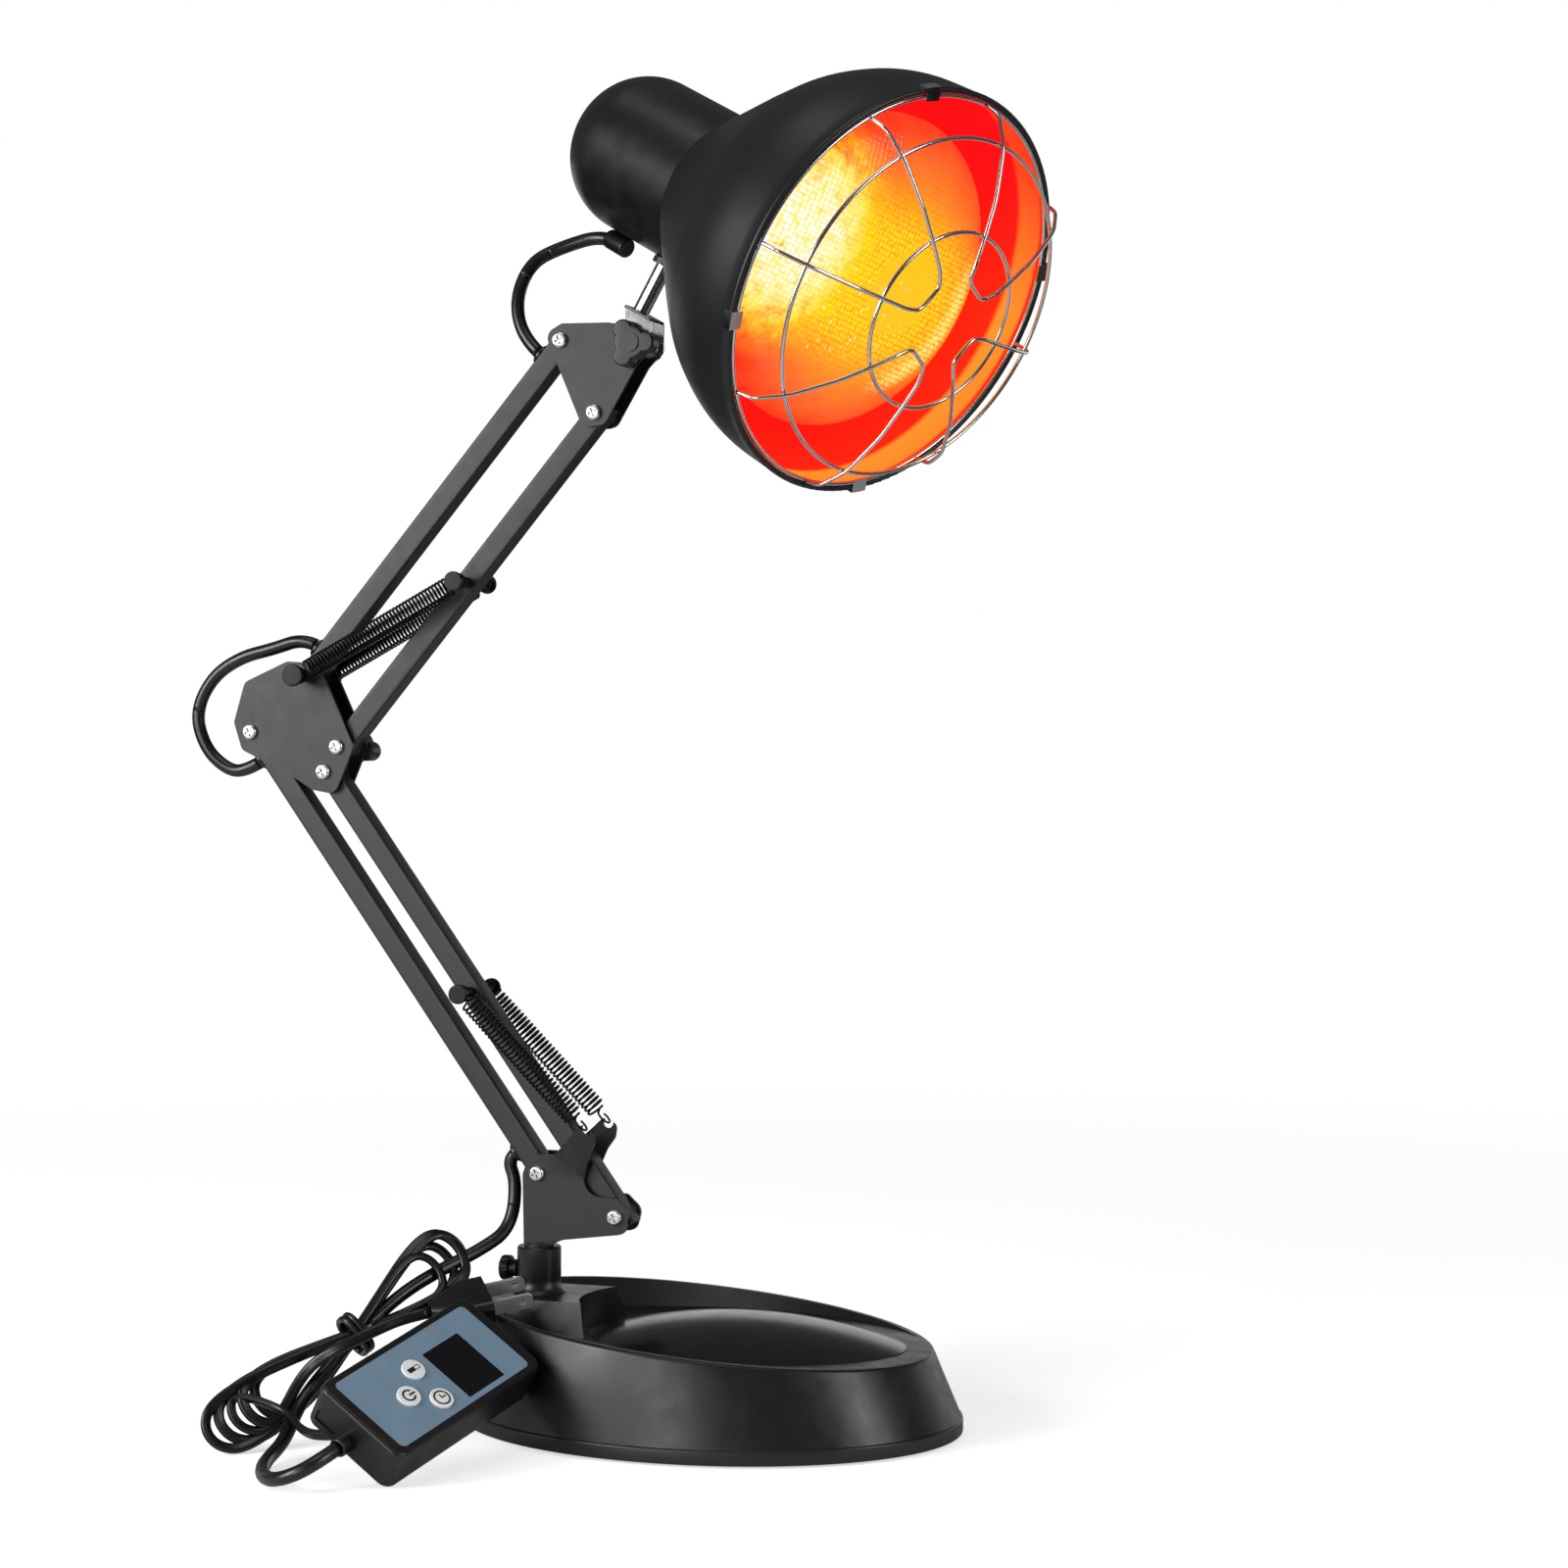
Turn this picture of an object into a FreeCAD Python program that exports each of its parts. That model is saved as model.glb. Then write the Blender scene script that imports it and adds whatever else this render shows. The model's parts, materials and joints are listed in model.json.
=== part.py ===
import FreeCAD, Part
import math, os
from FreeCAD import Vector

os.makedirs("parts", exist_ok=True)

# Fits between pieces
runFit = 0.05
bodyGap = 0.3
seatGap = 0.05

# Base
baseBandA = 106.3
baseBandB = 78.7
baseFootA = 105.5
baseFootB = 78.0
baseRimA = 96.8
baseRimB = 72.7
baseCentreX = 75.9
rimCentreX = 73.4
rimHeight = 42.5
rimSlope = 5.37
bandLow = 1.0
bandHigh = 7.2
bandRound = 0.8
rimRound = 1.6
dishInset = 3.2
dishDraft = 16.0
dishDepth = 16.0
dishFloor = 36.2
dishFloorSlope = 1.03
coverWall = 2.6
weightInset = 9.0
weightHigh = 21.0
domeLength = 67.0
domeWidth = 47.5
domeHigh = 10.2
domeCentreX = 92.0
scoopCentre = (52.0, -27.0)
scoopSize = (26.0, 9.0, 3.2)
scoopTurn = -14.0
footRadius = 7.0
footPlaces = ((0.0, 0.0), (75.9, 58.0), (75.9, -58.0), (150.0, 34.0), (150.0, -34.0))

# Plinth and socket for the arm
plinthTop = 50.5
plinthBack = -19.0
plinthFront = 33.0
plinthHalfTop = 20.0
plinthHalfLow = 27.0
plinthLow = 33.0
plinthClear = 4.0
plinthRound = 1.4
socketTop = 69.9
socketRadius = 9.2
socketFlare = 11.6
socketFlareHigh = 6.5
socketEdge = 0.6
postRadius = 6.25
postLow = 40.0
postChamfer = 0.6

# Thumbscrew at the back of the socket
thumbHeight = 59.8
thumbShank = 2.0
thumbCollar = 3.6
thumbCollarLong = 3.2
thumbDisc = 5.2
thumbDiscLong = 4.0
thumbScallop = 1.1
thumbScallops = 8
thumbRound = 0.7

# Arm: pivots as (x, z) in the arm plane
lowerPivot = (2.34, 101.26)
lowerLean = -35.84
lowerLength = 227.0
lowerPair = (34.65, -16.85)
elbowToUpper = (25.93, 24.02)
upperPair = (14.95, -30.25)
upperLean = 40.4
upperLength = 181.7
bracketToTilt = (34.4, -3.1)

# Half length of a bore that goes right through
throughReach = 40

# Square arm tube
tubeSide = 9.4
tubeWall = 1.1
tubeRound = 1.0
tubePast = 5.8
pivotShank = 2.0
washerThick = 1.2
washerRadius = 4.5
plateThick = 1.5
screwHead = 3.3
screwHeadHigh = 1.9
screwSlot = 0.9
slotTurn = 22
nutRadius = 5.6
nutHigh = 4.6

# Lower bracket outline, corner by corner, with corner rounds
lowerPlate = (
    (-3.9, 71.6, 0.8), (9.8, 73.4, 0.8), (41.6, 77.6, 4.0), (43.2, 86.6, 3.4), (37.4, 92.4, 3.0),
    (22.8, 92.6, 7.6), (23.2, 103.4, 6.0), (10.9, 109.2, 0.6), (-1.4, 109.2, 4.6), (-4.4, 100.6, 4.4),
)
webTop = 90.0
hookBendStart = (10.4, 108.8)
hookBendEnd = (23.0, 99.4)
hookPlate = (
    (9.6, 108.9, 0.5), (20.2, 119.2, 1.0), (24.4, 123.6, 2.2), (30.6, 121.2, 3.0), (30.2, 115.6, 2.2),
    (27.2, 110.8, 0.5), (23.2, 99.8, 0.5),
)
hookCentre = (26.4, 121.0)
hookHole = 2.2
hookBend = 17.0
postBlockHalf = 5.4
postBlockHigh = 88.0

# Elbow plate outline, drawn with the lower rear tube's top pivot at elbowDrawnAt
elbowDrawnAt = (-130.5739, 285.2787)
elbowPlate = (
    (-138.4, 289.4, 3.2), (-133.2, 306.6, 4.0), (-113.0, 315.4, 4.0), (-98.4, 314.6, 4.0),
    (-81.8, 279.2, 4.2), (-90.6, 258.8, 4.6), (-101.2, 260.6, 3.4), (-110.6, 266.4, 6.0),
    (-134.6, 277.6, 3.6),
)

# Head bracket outline, drawn with the upper rear tube's top pivot at headDrawnAt
headDrawnAt = (13.1195, 447.6703)
headPlate = (
    (6.4, 450.6, 4.4), (13.8, 454.6, 2.6), (34.8, 454.2, 4.0), (48.6, 451.6, 5.0), (53.6, 443.0, 5.0),
    (47.0, 436.4, 4.0), (32.6, 412.2, 4.6), (23.0, 411.4, 4.2),
)

# Springs, pegs and pins
springSide = 13.0
springOuter = 4.6
springInner = 3.5
springWire = 1.0
springLoop = 3.2
springNeck = 1.5
lowerPegAlong = 113.0
upperPegAlong = 90.85
pegRadius = 2.2
pegHead = 4.1
pegHeadThick = 1.5
pegReach = 18.5
pegRound = 0.5
pinRadius = 2.6
pinReach = 19.5
pinHead = 4.7

# Tri-lobe knobs
lobeCount = 3
lobeRadius = 10.4
lobeHub = 5.6
lobeTip = 4.2
knobThick = 8.0
knobCap = 4.0
knobCapHigh = 0.8
knobEdge = 0.9
elbowKnobTurn = 20
tiltKnobTurn = 0
boltRadius = 2.5
boltHead = 4.6
boltHeadHigh = 3.2
sleeveWall = 1.8

# Yoke, rod and head placement
rodTilt = 29.3
rodOffset = -8.2
yokePlateHigh = 12.0
yokeThick = 1.2
yokeHalf = 9.0
yokeEye = 5.2
yokeBehind = 4.2
yokeAhead = 7.8
yokeRound = 1.0
rodRadius = 3.5
rodBore = 2.5
headHigh = 68.5
headSwivel = -23.1
rodToRim = 117.2

# Shade profile as (behind the rim, radius, round)
shadeProfile = (
    (0.0, 82.9, 0.0), (27.0, 81.9, 60.0), (46.0, 73.9, 60.0), (62.0, 63.2, 60.0), (103.6, 33.7, 1.6),
    (103.6, 24.0, 0.0),
)
shadeWall = 1.0
lipRadius = 1.2
lipRing = 81.9

# Housing behind the shade
housingRadius = 33.0
housingFront = 103.65
housingBack = 185.0
housingCurve = 30.0
housingWall = 2.0
seamBelow = 25.0
bushingRadius = 5.6
bushingHigh = 2.6
rodInHousing = 9.0
glandBehind = 147.0
glandLong = 12.0
glandRadius = 4.2
glandDrop = 4.2
glandRound = 0.9

# Lampholder and bulb
holderRadius = 20.0
holderFront = 103.8
holderBack = 160.0
holderBore = 14.4
holderFloor = 12.0
holderRound = 4.0
holderGrooves = 4
holderGrooveFrom = 8.0
holderGrooveStep = 9.0
holderGrooveWide = 2.4
holderGrooveDeep = 1.2
tabRadius = 4.0
tabHigh = 2.0
capRadius = 13.2
capFront = 115.0
capBack = 142.0
capThreads = 5
capThreadDeep = 0.7
capPlain = 2.0
capTip = 5.0
capTipHigh = 4.6
bulbProfile = (
    (6.0, 0.0, 0.0), (7.4, 44.0, 60.0), (16.0, 63.4, 14.0), (27.0, 64.8, 16.0), (56.0, 50.6, 90.0),
    (80.0, 34.6, 50.0), (96.0, 14.0, 20.0), (116.0, 13.4, 0.0),
)
bulbWall = 1.0

# Wire guard
guardWire = 0.8
rimRing = 79.8
rimRingOut = 0.4
midRing = 68.7
midRingOut = 15.85
innerRing = 35.8
innerRingOut = 27.66
petalCount = 4
petalStart = 70.0
petalSpread = 23.0
petalLegs = ((79.8, 1.3, 0.0), (78.6, 9.0, 8.0), (68.7, 18.25, 22.0), (50.0, 26.2, 40.0), (35.8, 29.45, 60.0))
petalFlat = 31.4
petalFlatFrom = 25.0
petalCurl = 17.0
petalInner = 0.62
petalShoulder = 12.0
clipSpan = 5.0
clipThick = 0.6
clipReach = 1.6

# Cords
cordRadius = 2.8
supplyRadius = 2.3
grommetRadius = 4.6
grommetProud = 1.6
grommetInset = 11.0
grommetAbove = 13.0
headLoop = (
    (0.7, 0.0, 443.7), (-7.6, 1.5, 450.8), (-12.4, 5.5, 467.0), (-7.6, 10.5, 483.0), (5.0, 15.0, 489.6),
)
headLoopRun = 10.4
elbowLoop = (
    (-103.0, 0.0, 322.4), (-109.4, 0.0, 325.2), (-123.0, 0.0, 321.0), (-138.6, 0.0, 317.6),
    (-152.8, 0.0, 309.0), (-161.0, 0.0, 293.6), (-156.4, 0.0, 278.4), (-147.0, 0.0, 269.8),
    (-138.2, 0.0, 267.6), (-129.9, 0.0, 272.1),
)
leadTop = ((-10.9, 0.0, 107.8), (-14.2, 0.0, 105.2), (-10.2, -0.4, 96.0), (-10.6, -2.2, 86.5))
leadLow = (
    (-10.61, -2.25, 86.25), (-11.0, -4.0, 77.0), (-21.5, -15.0, 68.5), (-33.0, -30.0, 62.0),
)
hankFace = (0.31, -0.94, 0.14)
hankAxis = ((-92.0, -112.0, 7.0), (-53.6, -65.0, 41.0), (-27.4, -17.0, 73.0))
hankWidths = ((0.02, 12.0, 5.0), (0.16, 28.0, 8.4), (0.34, 29.0, 10.0), (0.47, 15.0, 8.6), (0.54, 12.4, 8.0),
              (0.62, 18.0, 9.0), (0.8, 29.0, 10.0), (0.92, 26.0, 8.0), (1.0, 12.0, 4.6))
controlLoop = (
    (-66.0, -91.0, 17.0), (-62.0, -111.0, 6.6), (-60.0, -132.0, 3.2), (-51.0, -154.0, 3.2),
    (-33.0, -168.6, 6.2), (-22.3, -161.5, 12.8), (-19.5, -152.0, 15.4),
)
plugLead = (
    (-66.0, -86.0, 30.0), (-52.0, -85.0, 39.0), (-38.4, -74.6, 45.8), (-31.6, -66.7, 49.0),
    (-22.6, -60.1, 50.8),
)
tieRadius = 1.3
tieWide = 16.4
tieThick = 12.4

# Plug
plugTip = (-22.5, -60.0, 50.8)
plugPoint = (0.80, 0.58, 0.16)
plugAcross = (0.60, -0.71, -0.38)
plugLong = 24.0
plugWide = 24.0
plugThick = 11.0
bladeLong = 17.0
bladeWide = 6.4
bladeThick = 1.5
bladeApart = 12.7
bladeHole = 1.6
bladeHoleFrom = 4.2
bladeChamfer = 1.4
bladeRoot = 6.0

# Hand controller
caseLong = 88.0
caseWide = 44.0
caseThick = 19.0
caseSeam = 8.0
caseWall = 1.8
caseCorner = 5.0
caseEdge = 1.6
caseTop = (13.4293, -68.4873, 47.7373)
caseAlong = (0.2735, 0.9302, 0.2464)
caseUp = (0.4992, -0.3563, 0.7908)
panelLong = 77.5
panelWide = 37.6
panelThick = 0.6
panelCorner = 2.6
displayAt = (14.6, -3.4)
displayLong = 21.4
displayWide = 26.0
displayDeep = 2.4
buttonRadius = 4.9
buttonProud = 0.7
buttonDeep = 2.7
buttonPress = 0.5
buttonGap = 0.3
buttonPlaces = (
    ("button_temperature", -5.4, 6.2), ("button_power", -17.4, -2.2), ("button_timer", -6.8, -10.4),
)
boardThick = 1.6
boardDeep = 7.4
boardShorter = 15.6
boardNarrower = 1.2
boardCorner = 1.0
boardPosts = (-26.0, 28.0)
boardPostRadius = 2.4
switchRadius = 2.6
caseScrewIn = 6.0
caseScrewBoss = 3.0
caseScrewHole = 1.9
caseScrewDeep = 2.2
caseGlandAt = 1.2
caseGlandDeep = 12.2
caseGlandLong = 6.0
caseGlandRadius = 3.8
recessSize = (10.0, 5.0, 0.8)
recessAt = 13.0

nodes = {}


def vec(point):
    return Vector(*point)


def flat(point, y=0.0):
    """A point of the arm plane in space."""
    return Vector(point[0], y, point[1])


def keep(name, solids):
    """Stores one node and writes it out."""
    shape = solids[0] if len(solids) == 1 else Part.makeCompound(solids)
    shape.exportStep("parts/" + name + ".step")
    nodes[name] = shape


def rotated(shape, centre, axis, angle):
    turned = shape.copy()
    turned.rotate(centre, axis, angle)
    return turned


def moved(shape, offset):
    copy = shape.copy()
    copy.translate(offset)
    return copy


def framed(shape, origin, xAxis, zAxis):
    """Puts a shape made in its own frame where that frame stands."""
    z = Vector(zAxis).normalize()
    y = z.cross(Vector(xAxis)).normalize()
    x = y.cross(z)
    matrix = FreeCAD.Matrix(
        x.x, y.x, z.x, origin.x,
        x.y, y.y, z.y, origin.y,
        x.z, y.z, z.z, origin.z,
        0, 0, 0, 1,
    )
    placed = shape.copy()
    placed.Placement = FreeCAD.Placement(matrix).multiply(placed.Placement)
    return placed


def corner(before, point, after, radius):
    """Both ends and the middle of the arc that rounds a corner."""
    back = (before - point).normalize()
    ahead = (after - point).normalize()
    half = back.getAngle(ahead) / 2
    bisector = (back + ahead).normalize()
    reach = radius / math.tan(half)
    middle = point + bisector * (radius / math.sin(half) - radius)
    return point + back * reach, middle, point + ahead * reach


def addLine(edges, start, end):
    if (end - start).Length > 1e-5:
        edges.append(Part.LineSegment(start, end).toShape())


def openPath(points, radii):
    """Straight runs joined by tangent arcs; a radius of nought keeps the corner."""
    edges = []
    last = points[0]
    for i in range(1, len(points) - 1):
        if radii[i] <= 0:
            addLine(edges, last, points[i])
            last = points[i]
            continue
        start, middle, end = corner(points[i - 1], points[i], points[i + 1], radii[i])
        addLine(edges, last, start)
        edges.append(Part.Arc(start, middle, end).toShape())
        last = end
    addLine(edges, last, points[-1])
    return Part.Wire(edges)


def closedPath(points, radii):
    """A closed outline with rounded corners."""
    count = len(points)
    edges = []
    arcs = []
    for i in range(count):
        if radii[i] > 0:
            arcs.append(corner(points[i - 1], points[i], points[(i + 1) % count], radii[i]))
        else:
            arcs.append((points[i], None, points[i]))
    for i in range(count):
        start, middle, end = arcs[i]
        if middle is not None:
            edges.append(Part.Arc(start, middle, end).toShape())
        addLine(edges, end, arcs[(i + 1) % count][0])
    return Part.Wire(edges)


def carried(outline, drawnAt, pivot):
    """An outline moved from the pivot that it was drawn about to where that pivot is."""
    return [(x + pivot[0] - drawnAt[0], z + pivot[1] - drawnAt[1], r) for x, z, r in outline]


def plate(outline, y, thick):
    """A sheet in the arm plane from an outline of (x, z, round)."""
    points = [Vector(x, y, z) for x, z, r in outline]
    wire = closedPath(points, [r for x, z, r in outline])
    return Part.Face(wire).extrude(Vector(0, thick, 0))


def roundedBlock(length, width, low, high, radius):
    """A block about the z axis with rounded upright corners."""
    x, y = length / 2, width / 2
    points = [Vector(x, y, low), Vector(-x, y, low), Vector(-x, -y, low), Vector(x, -y, low)]
    return Part.Face(closedPath(points, [radius] * 4)).extrude(Vector(0, 0, high - low))


def cylinder(centre, axis, radius, length):
    return Part.makeCylinder(radius, length, centre, axis)


def ring(centre, axis, outer, inner, length):
    return cylinder(centre, axis, outer, length).cut(cylinder(centre, axis, inner, length))


def turned(points, radii, axis=Vector(0, 0, 1)):
    """A closed profile turned round the z axis."""
    return Part.Face(closedPath(points, radii)).revolve(Vector(0, 0, 0), axis, 360)


def swept(wire, radius):
    """A round rod along a path."""
    edge = wire.OrderedEdges[0]
    start = edge.valueAt(edge.FirstParameter)
    along = edge.tangentAt(edge.FirstParameter)
    if (start - wire.OrderedVertexes[0].Point).Length > 1e-4:
        start = edge.valueAt(edge.LastParameter)
        along = edge.tangentAt(edge.LastParameter) * -1
    profile = Part.Wire([Part.Circle(start, along, radius).toShape()])
    return wire.makePipeShell([profile], True, False)


def cordShape(name, points, radius):
    """A cord of straight runs and arcs, with its bend radii printed."""
    spots = [vec(p) for p in points]
    radii = [0.0] * len(spots)
    for i in range(1, len(spots) - 1):
        before = spots[i] - spots[i - 1]
        after = spots[i + 1] - spots[i]
        turn = before.getAngle(after)
        radii[i] = 0.45 * min(before.Length, after.Length) / math.tan(turn / 2)
    wire = openPath(spots, radii)
    solid = swept(wire, radius)
    ideal = wire.Length * math.pi * radius * radius
    bends = ["%.1f" % r for r in radii[1:-1]]
    print(name, "length %.1f" % wire.Length, "radii", bends, "volume ratio %.4f" % (solid.Volume / ideal))
    return solid


# Pivot positions that follow from the arm's lengths and leans
def along(lean, length):
    angle = math.radians(lean)
    return (math.sin(angle) * length, math.cos(angle) * length)


def plus(a, b):
    return (a[0] + b[0], a[1] + b[1])


lowerRearLow = lowerPivot
lowerFrontLow = plus(lowerRearLow, lowerPair)
lowerRearHigh = plus(lowerRearLow, along(lowerLean, lowerLength))
lowerFrontHigh = plus(lowerRearHigh, lowerPair)
upperRearLow = plus(lowerRearHigh, elbowToUpper)
upperFrontLow = plus(upperRearLow, upperPair)
upperRearHigh = plus(upperRearLow, along(upperLean, upperLength))
upperFrontHigh = plus(upperRearHigh, upperPair)
tiltPivot = plus(upperRearHigh, bracketToTilt)
lowerPeg = plus(lowerFrontLow, along(lowerLean, lowerPegAlong))
upperPeg = plus(upperFrontLow, along(upperLean, upperPegAlong))

plateInner = tubeSide / 2 + washerThick + 2 * seatGap
plateOuter = plateInner + plateThick

yDirection = Vector(0, 1, 0)
xDirection = Vector(1, 0, 0)
zDirection = Vector(0, 0, 1)

rodDirection = Vector(math.sin(math.radians(rodTilt)), 0, math.cos(math.radians(rodTilt)))
rodAhead = Vector(rodDirection.z, 0, -rodDirection.x)
rodFoot = flat(tiltPivot) + rodAhead * rodOffset
headCentre = rodFoot + rodDirection * headHigh
headAxis = FreeCAD.Rotation(rodDirection, headSwivel).multVec(rodAhead)
rimCentre = headCentre + headAxis * rodToRim
headSideways = rodDirection.cross(headAxis)


def inHead(shape):
    """From the head's own frame (z out of the shade, y up along the rod) to its place."""
    return framed(shape, rimCentre, headSideways, headAxis)


# Base
def ellipseWire(a, b, x, z, slope=0.0):
    wire = Part.Wire([Part.Ellipse(Vector(0, 0, 0), a, b).toShape()])
    wire.Placement = FreeCAD.Placement(Vector(x, 0, z), FreeCAD.Rotation(yDirection, slope))
    return wire


def plinthSolid():
    def outline(half, front, z):
        points = [Vector(plinthBack, -half, z), Vector(front, -half, z), Vector(front, half, z),
                  Vector(plinthBack, half, z)]
        return closedPath(points, [plinthRound] * 4)

    draft = plinthHalfLow - plinthHalfTop
    body = Part.makeLoft([outline(plinthHalfLow, plinthFront + draft, plinthLow),
                          outline(plinthHalfTop, plinthFront, plinthTop)], True, True)
    dome = ellipseWire(domeLength + plinthClear, domeWidth + plinthClear, domeCentreX, plinthLow)
    hollow = Part.Face(dome).extrude(Vector(0, 0, plinthTop))
    return body.cut(hollow)


def baseCover():
    shell = Part.makeLoft([ellipseWire(baseFootA, baseFootB, baseCentreX, bandHigh),
                           ellipseWire(baseRimA, baseRimB, rimCentreX, rimHeight, rimSlope)], True, True)
    rim = [e for e in shell.Edges if e.BoundBox.ZMin > bandHigh + 1 and e.BoundBox.XLength > baseRimA]
    shell = shell.makeFillet(rimRound, rim)
    dishTop = ellipseWire(baseRimA - dishInset, baseRimB - dishInset, rimCentreX,
                          rimHeight + seatGap, rimSlope)
    deep = Vector(math.sin(math.radians(rimSlope)), 0, math.cos(math.radians(rimSlope))) * -dishDepth
    dishLow = ellipseWire(baseRimA - dishInset - dishDraft, baseRimB - dishInset - dishDraft,
                          rimCentreX + deep.x, rimHeight + deep.z, rimSlope)
    dish = Part.makeLoft([dishLow, dishTop], True, True)
    above = Part.makeBox(3 * baseFootA, 3 * baseFootA, dishDepth * 2, Vector(-baseFootA, -1.5 * baseFootA, 0))
    above = rotated(above, Vector(rimCentreX, 0, 0), yDirection, dishFloorSlope)
    dish = dish.common(moved(above, Vector(0, 0, dishFloor)))
    shell = shell.cut(dish).fuse(plinthSolid())
    inside = Part.makeLoft([ellipseWire(baseFootA - coverWall, baseFootB - coverWall, baseCentreX, 0),
                            ellipseWire(baseRimA - 4 * coverWall, baseRimB - 4 * coverWall, rimCentreX,
                                        dishFloor - coverWall - rimRound, 2 * dishFloorSlope)], True, True)
    length, width, high = scoopSize
    scoop = roundedBlock(length, width, 0, high * 2, width / 2.2)
    scoop = rotated(scoop, Vector(0, 0, 0), zDirection, scoopTurn)
    scoop = moved(scoop, Vector(scoopCentre[0], scoopCentre[1], dishFloor - high / 1.6))
    bore = cylinder(Vector(0, 0, postLow - coverWall), zDirection, postRadius + bodyGap, socketTop)
    return shell.cut(inside).cut(scoop).cut(bore).removeSplitter()


def baseDome():
    radius = (domeLength ** 2 + domeHigh ** 2) / (2 * domeHigh)
    points = [Vector(0, 0, 0), Vector(domeLength, 0, 0), Vector(0, 0, domeHigh)]
    middle = Vector(radius * math.sin(0.5 * math.asin(domeLength / radius)), 0,
                    domeHigh - radius + radius * math.cos(0.5 * math.asin(domeLength / radius)))
    edges = [Part.LineSegment(points[0], points[1]).toShape(),
             Part.Arc(points[1], middle, points[2]).toShape(),
             Part.LineSegment(points[2], points[0]).toShape()]
    cap = Part.Face(Part.Wire(edges)).revolve(Vector(0, 0, 0), zDirection, 360)
    squeeze = FreeCAD.Matrix()
    squeeze.scale(Vector(1, domeWidth / domeLength, 1))
    cap = cap.transformGeometry(squeeze)
    cap = rotated(cap, Vector(0, 0, 0), yDirection, dishFloorSlope)
    drop = math.tan(math.radians(dishFloorSlope)) * (domeCentreX - rimCentreX)
    return moved(cap, Vector(domeCentreX, 0, dishFloor - drop + seatGap))


def baseWeight():
    low = bandHigh + bodyGap
    foot = ellipseWire(baseFootA - weightInset, baseFootB - weightInset, baseCentreX, low)
    top = ellipseWire(baseRimA - weightInset, baseRimB - weightInset, rimCentreX, weightHigh)
    return Part.makeLoft([foot, top], True, True)


def baseBand():
    plateSolid = Part.Face(ellipseWire(baseBandA, baseBandB, baseCentreX, bandLow)).extrude(
        Vector(0, 0, bandHigh - bandLow - seatGap))
    edges = [e for e in plateSolid.Edges if e.BoundBox.ZLength < 0.1]
    return plateSolid.makeFillet(bandRound, edges)


def baseFeet():
    return [cylinder(Vector(x, y, 0), zDirection, footRadius, bandLow - seatGap) for x, y in footPlaces]


def postSocket():
    low = plinthTop + seatGap
    flareTop = low + socketFlareHigh
    wallIn = postRadius + runFit
    bend = math.sqrt(0.5)
    swing = socketFlare - socketRadius
    flareFoot = Vector(socketFlare, 0, low)
    flareMiddle = Vector(socketFlare - swing * bend * 1.25, 0, low + socketFlareHigh * (1 - bend) * 1.3)
    outline = [
        Vector(socketRadius, 0, flareTop), Vector(socketRadius, 0, socketTop - socketEdge),
        Vector(socketRadius - socketEdge, 0, socketTop), Vector(wallIn, 0, socketTop), Vector(wallIn, 0, low),
        flareFoot,
    ]
    edges = [Part.Arc(flareFoot, flareMiddle, outline[0]).toShape()]
    for start, end in zip(outline, outline[1:]):
        addLine(edges, start, end)
    body = Part.Face(Part.Wire(edges)).revolve(Vector(0, 0, 0), zDirection, 360)
    hole = cylinder(Vector(-socketFlare, 0, thumbHeight), xDirection, thumbShank + runFit, socketFlare)
    return body.cut(hole)


def thumbScrew():
    """Shank, collar and scalloped disc, made along z and laid along the screw's axis."""
    reach = socketRadius - postRadius
    shank = cylinder(Vector(0, 0, -reach + bodyGap), zDirection, thumbShank, reach + thumbCollarLong)
    collar = cylinder(Vector(0, 0, bodyGap), zDirection, thumbCollar, thumbCollarLong)
    disc = cylinder(Vector(0, 0, bodyGap + thumbCollarLong), zDirection, thumbDisc, thumbDiscLong)
    disc = disc.makeFillet(thumbRound, [e for e in disc.Edges if e.Closed and e.BoundBox.ZLength < 0.1])
    for i in range(thumbScallops):
        angle = math.radians(360 / thumbScallops * i)
        spot = Vector(math.cos(angle), math.sin(angle), 0) * (thumbDisc + thumbScallop * 0.6)
        disc = disc.cut(cylinder(spot, zDirection, thumbScallop, 3 * thumbDiscLong))
    screw = shank.fuse(collar).fuse(disc).removeSplitter()
    return framed(screw, Vector(-socketRadius, 0, thumbHeight), zDirection, Vector(-1, 0, 0))


# Fasteners on the arm's pivots
def panScrew(point, shankEnd, seat):
    """Pan head on the near side, cross recess, plain shank to the far side."""
    head = [Vector(0, 0, 0), Vector(screwHead, 0, 0), Vector(screwHead, 0, screwHeadHigh),
            Vector(0, 0, screwHeadHigh)]
    solid = turned(head, [0, 0, screwHeadHigh * 0.62, 0])
    arm = screwHead * 0.62
    for turn in (0, 90):
        slot = Part.makeBox(2 * arm, screwSlot, screwHeadHigh,
                            Vector(-arm, -screwSlot / 2, screwHeadHigh * 0.42))
        solid = solid.cut(rotated(slot, Vector(0, 0, 0), zDirection, turn + slotTurn))
    solid = framed(solid, flat(point, -seat - seatGap), xDirection, Vector(0, -1, 0))
    shank = cylinder(flat(point, -seat - seatGap), yDirection, pivotShank, seat + shankEnd)
    return solid.fuse(shank)


def capNut(point, seat):
    """Domed nut with a threaded bore that takes the shank."""
    skirt = nutHigh * 0.4
    outline = [Vector(0, 0, 0), Vector(nutRadius, 0, 0), Vector(nutRadius, 0, skirt),
               Vector(nutRadius * 0.62, 0, nutHigh), Vector(0, 0, nutHigh)]
    solid = turned(outline, [0, 0.5, 1.6, 2.4, 0])
    solid = solid.cut(cylinder(Vector(0, 0, 0), zDirection, pivotShank + seatGap, nutHigh * 0.7))
    return framed(solid, flat(point, seat + seatGap), xDirection, yDirection)


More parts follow.
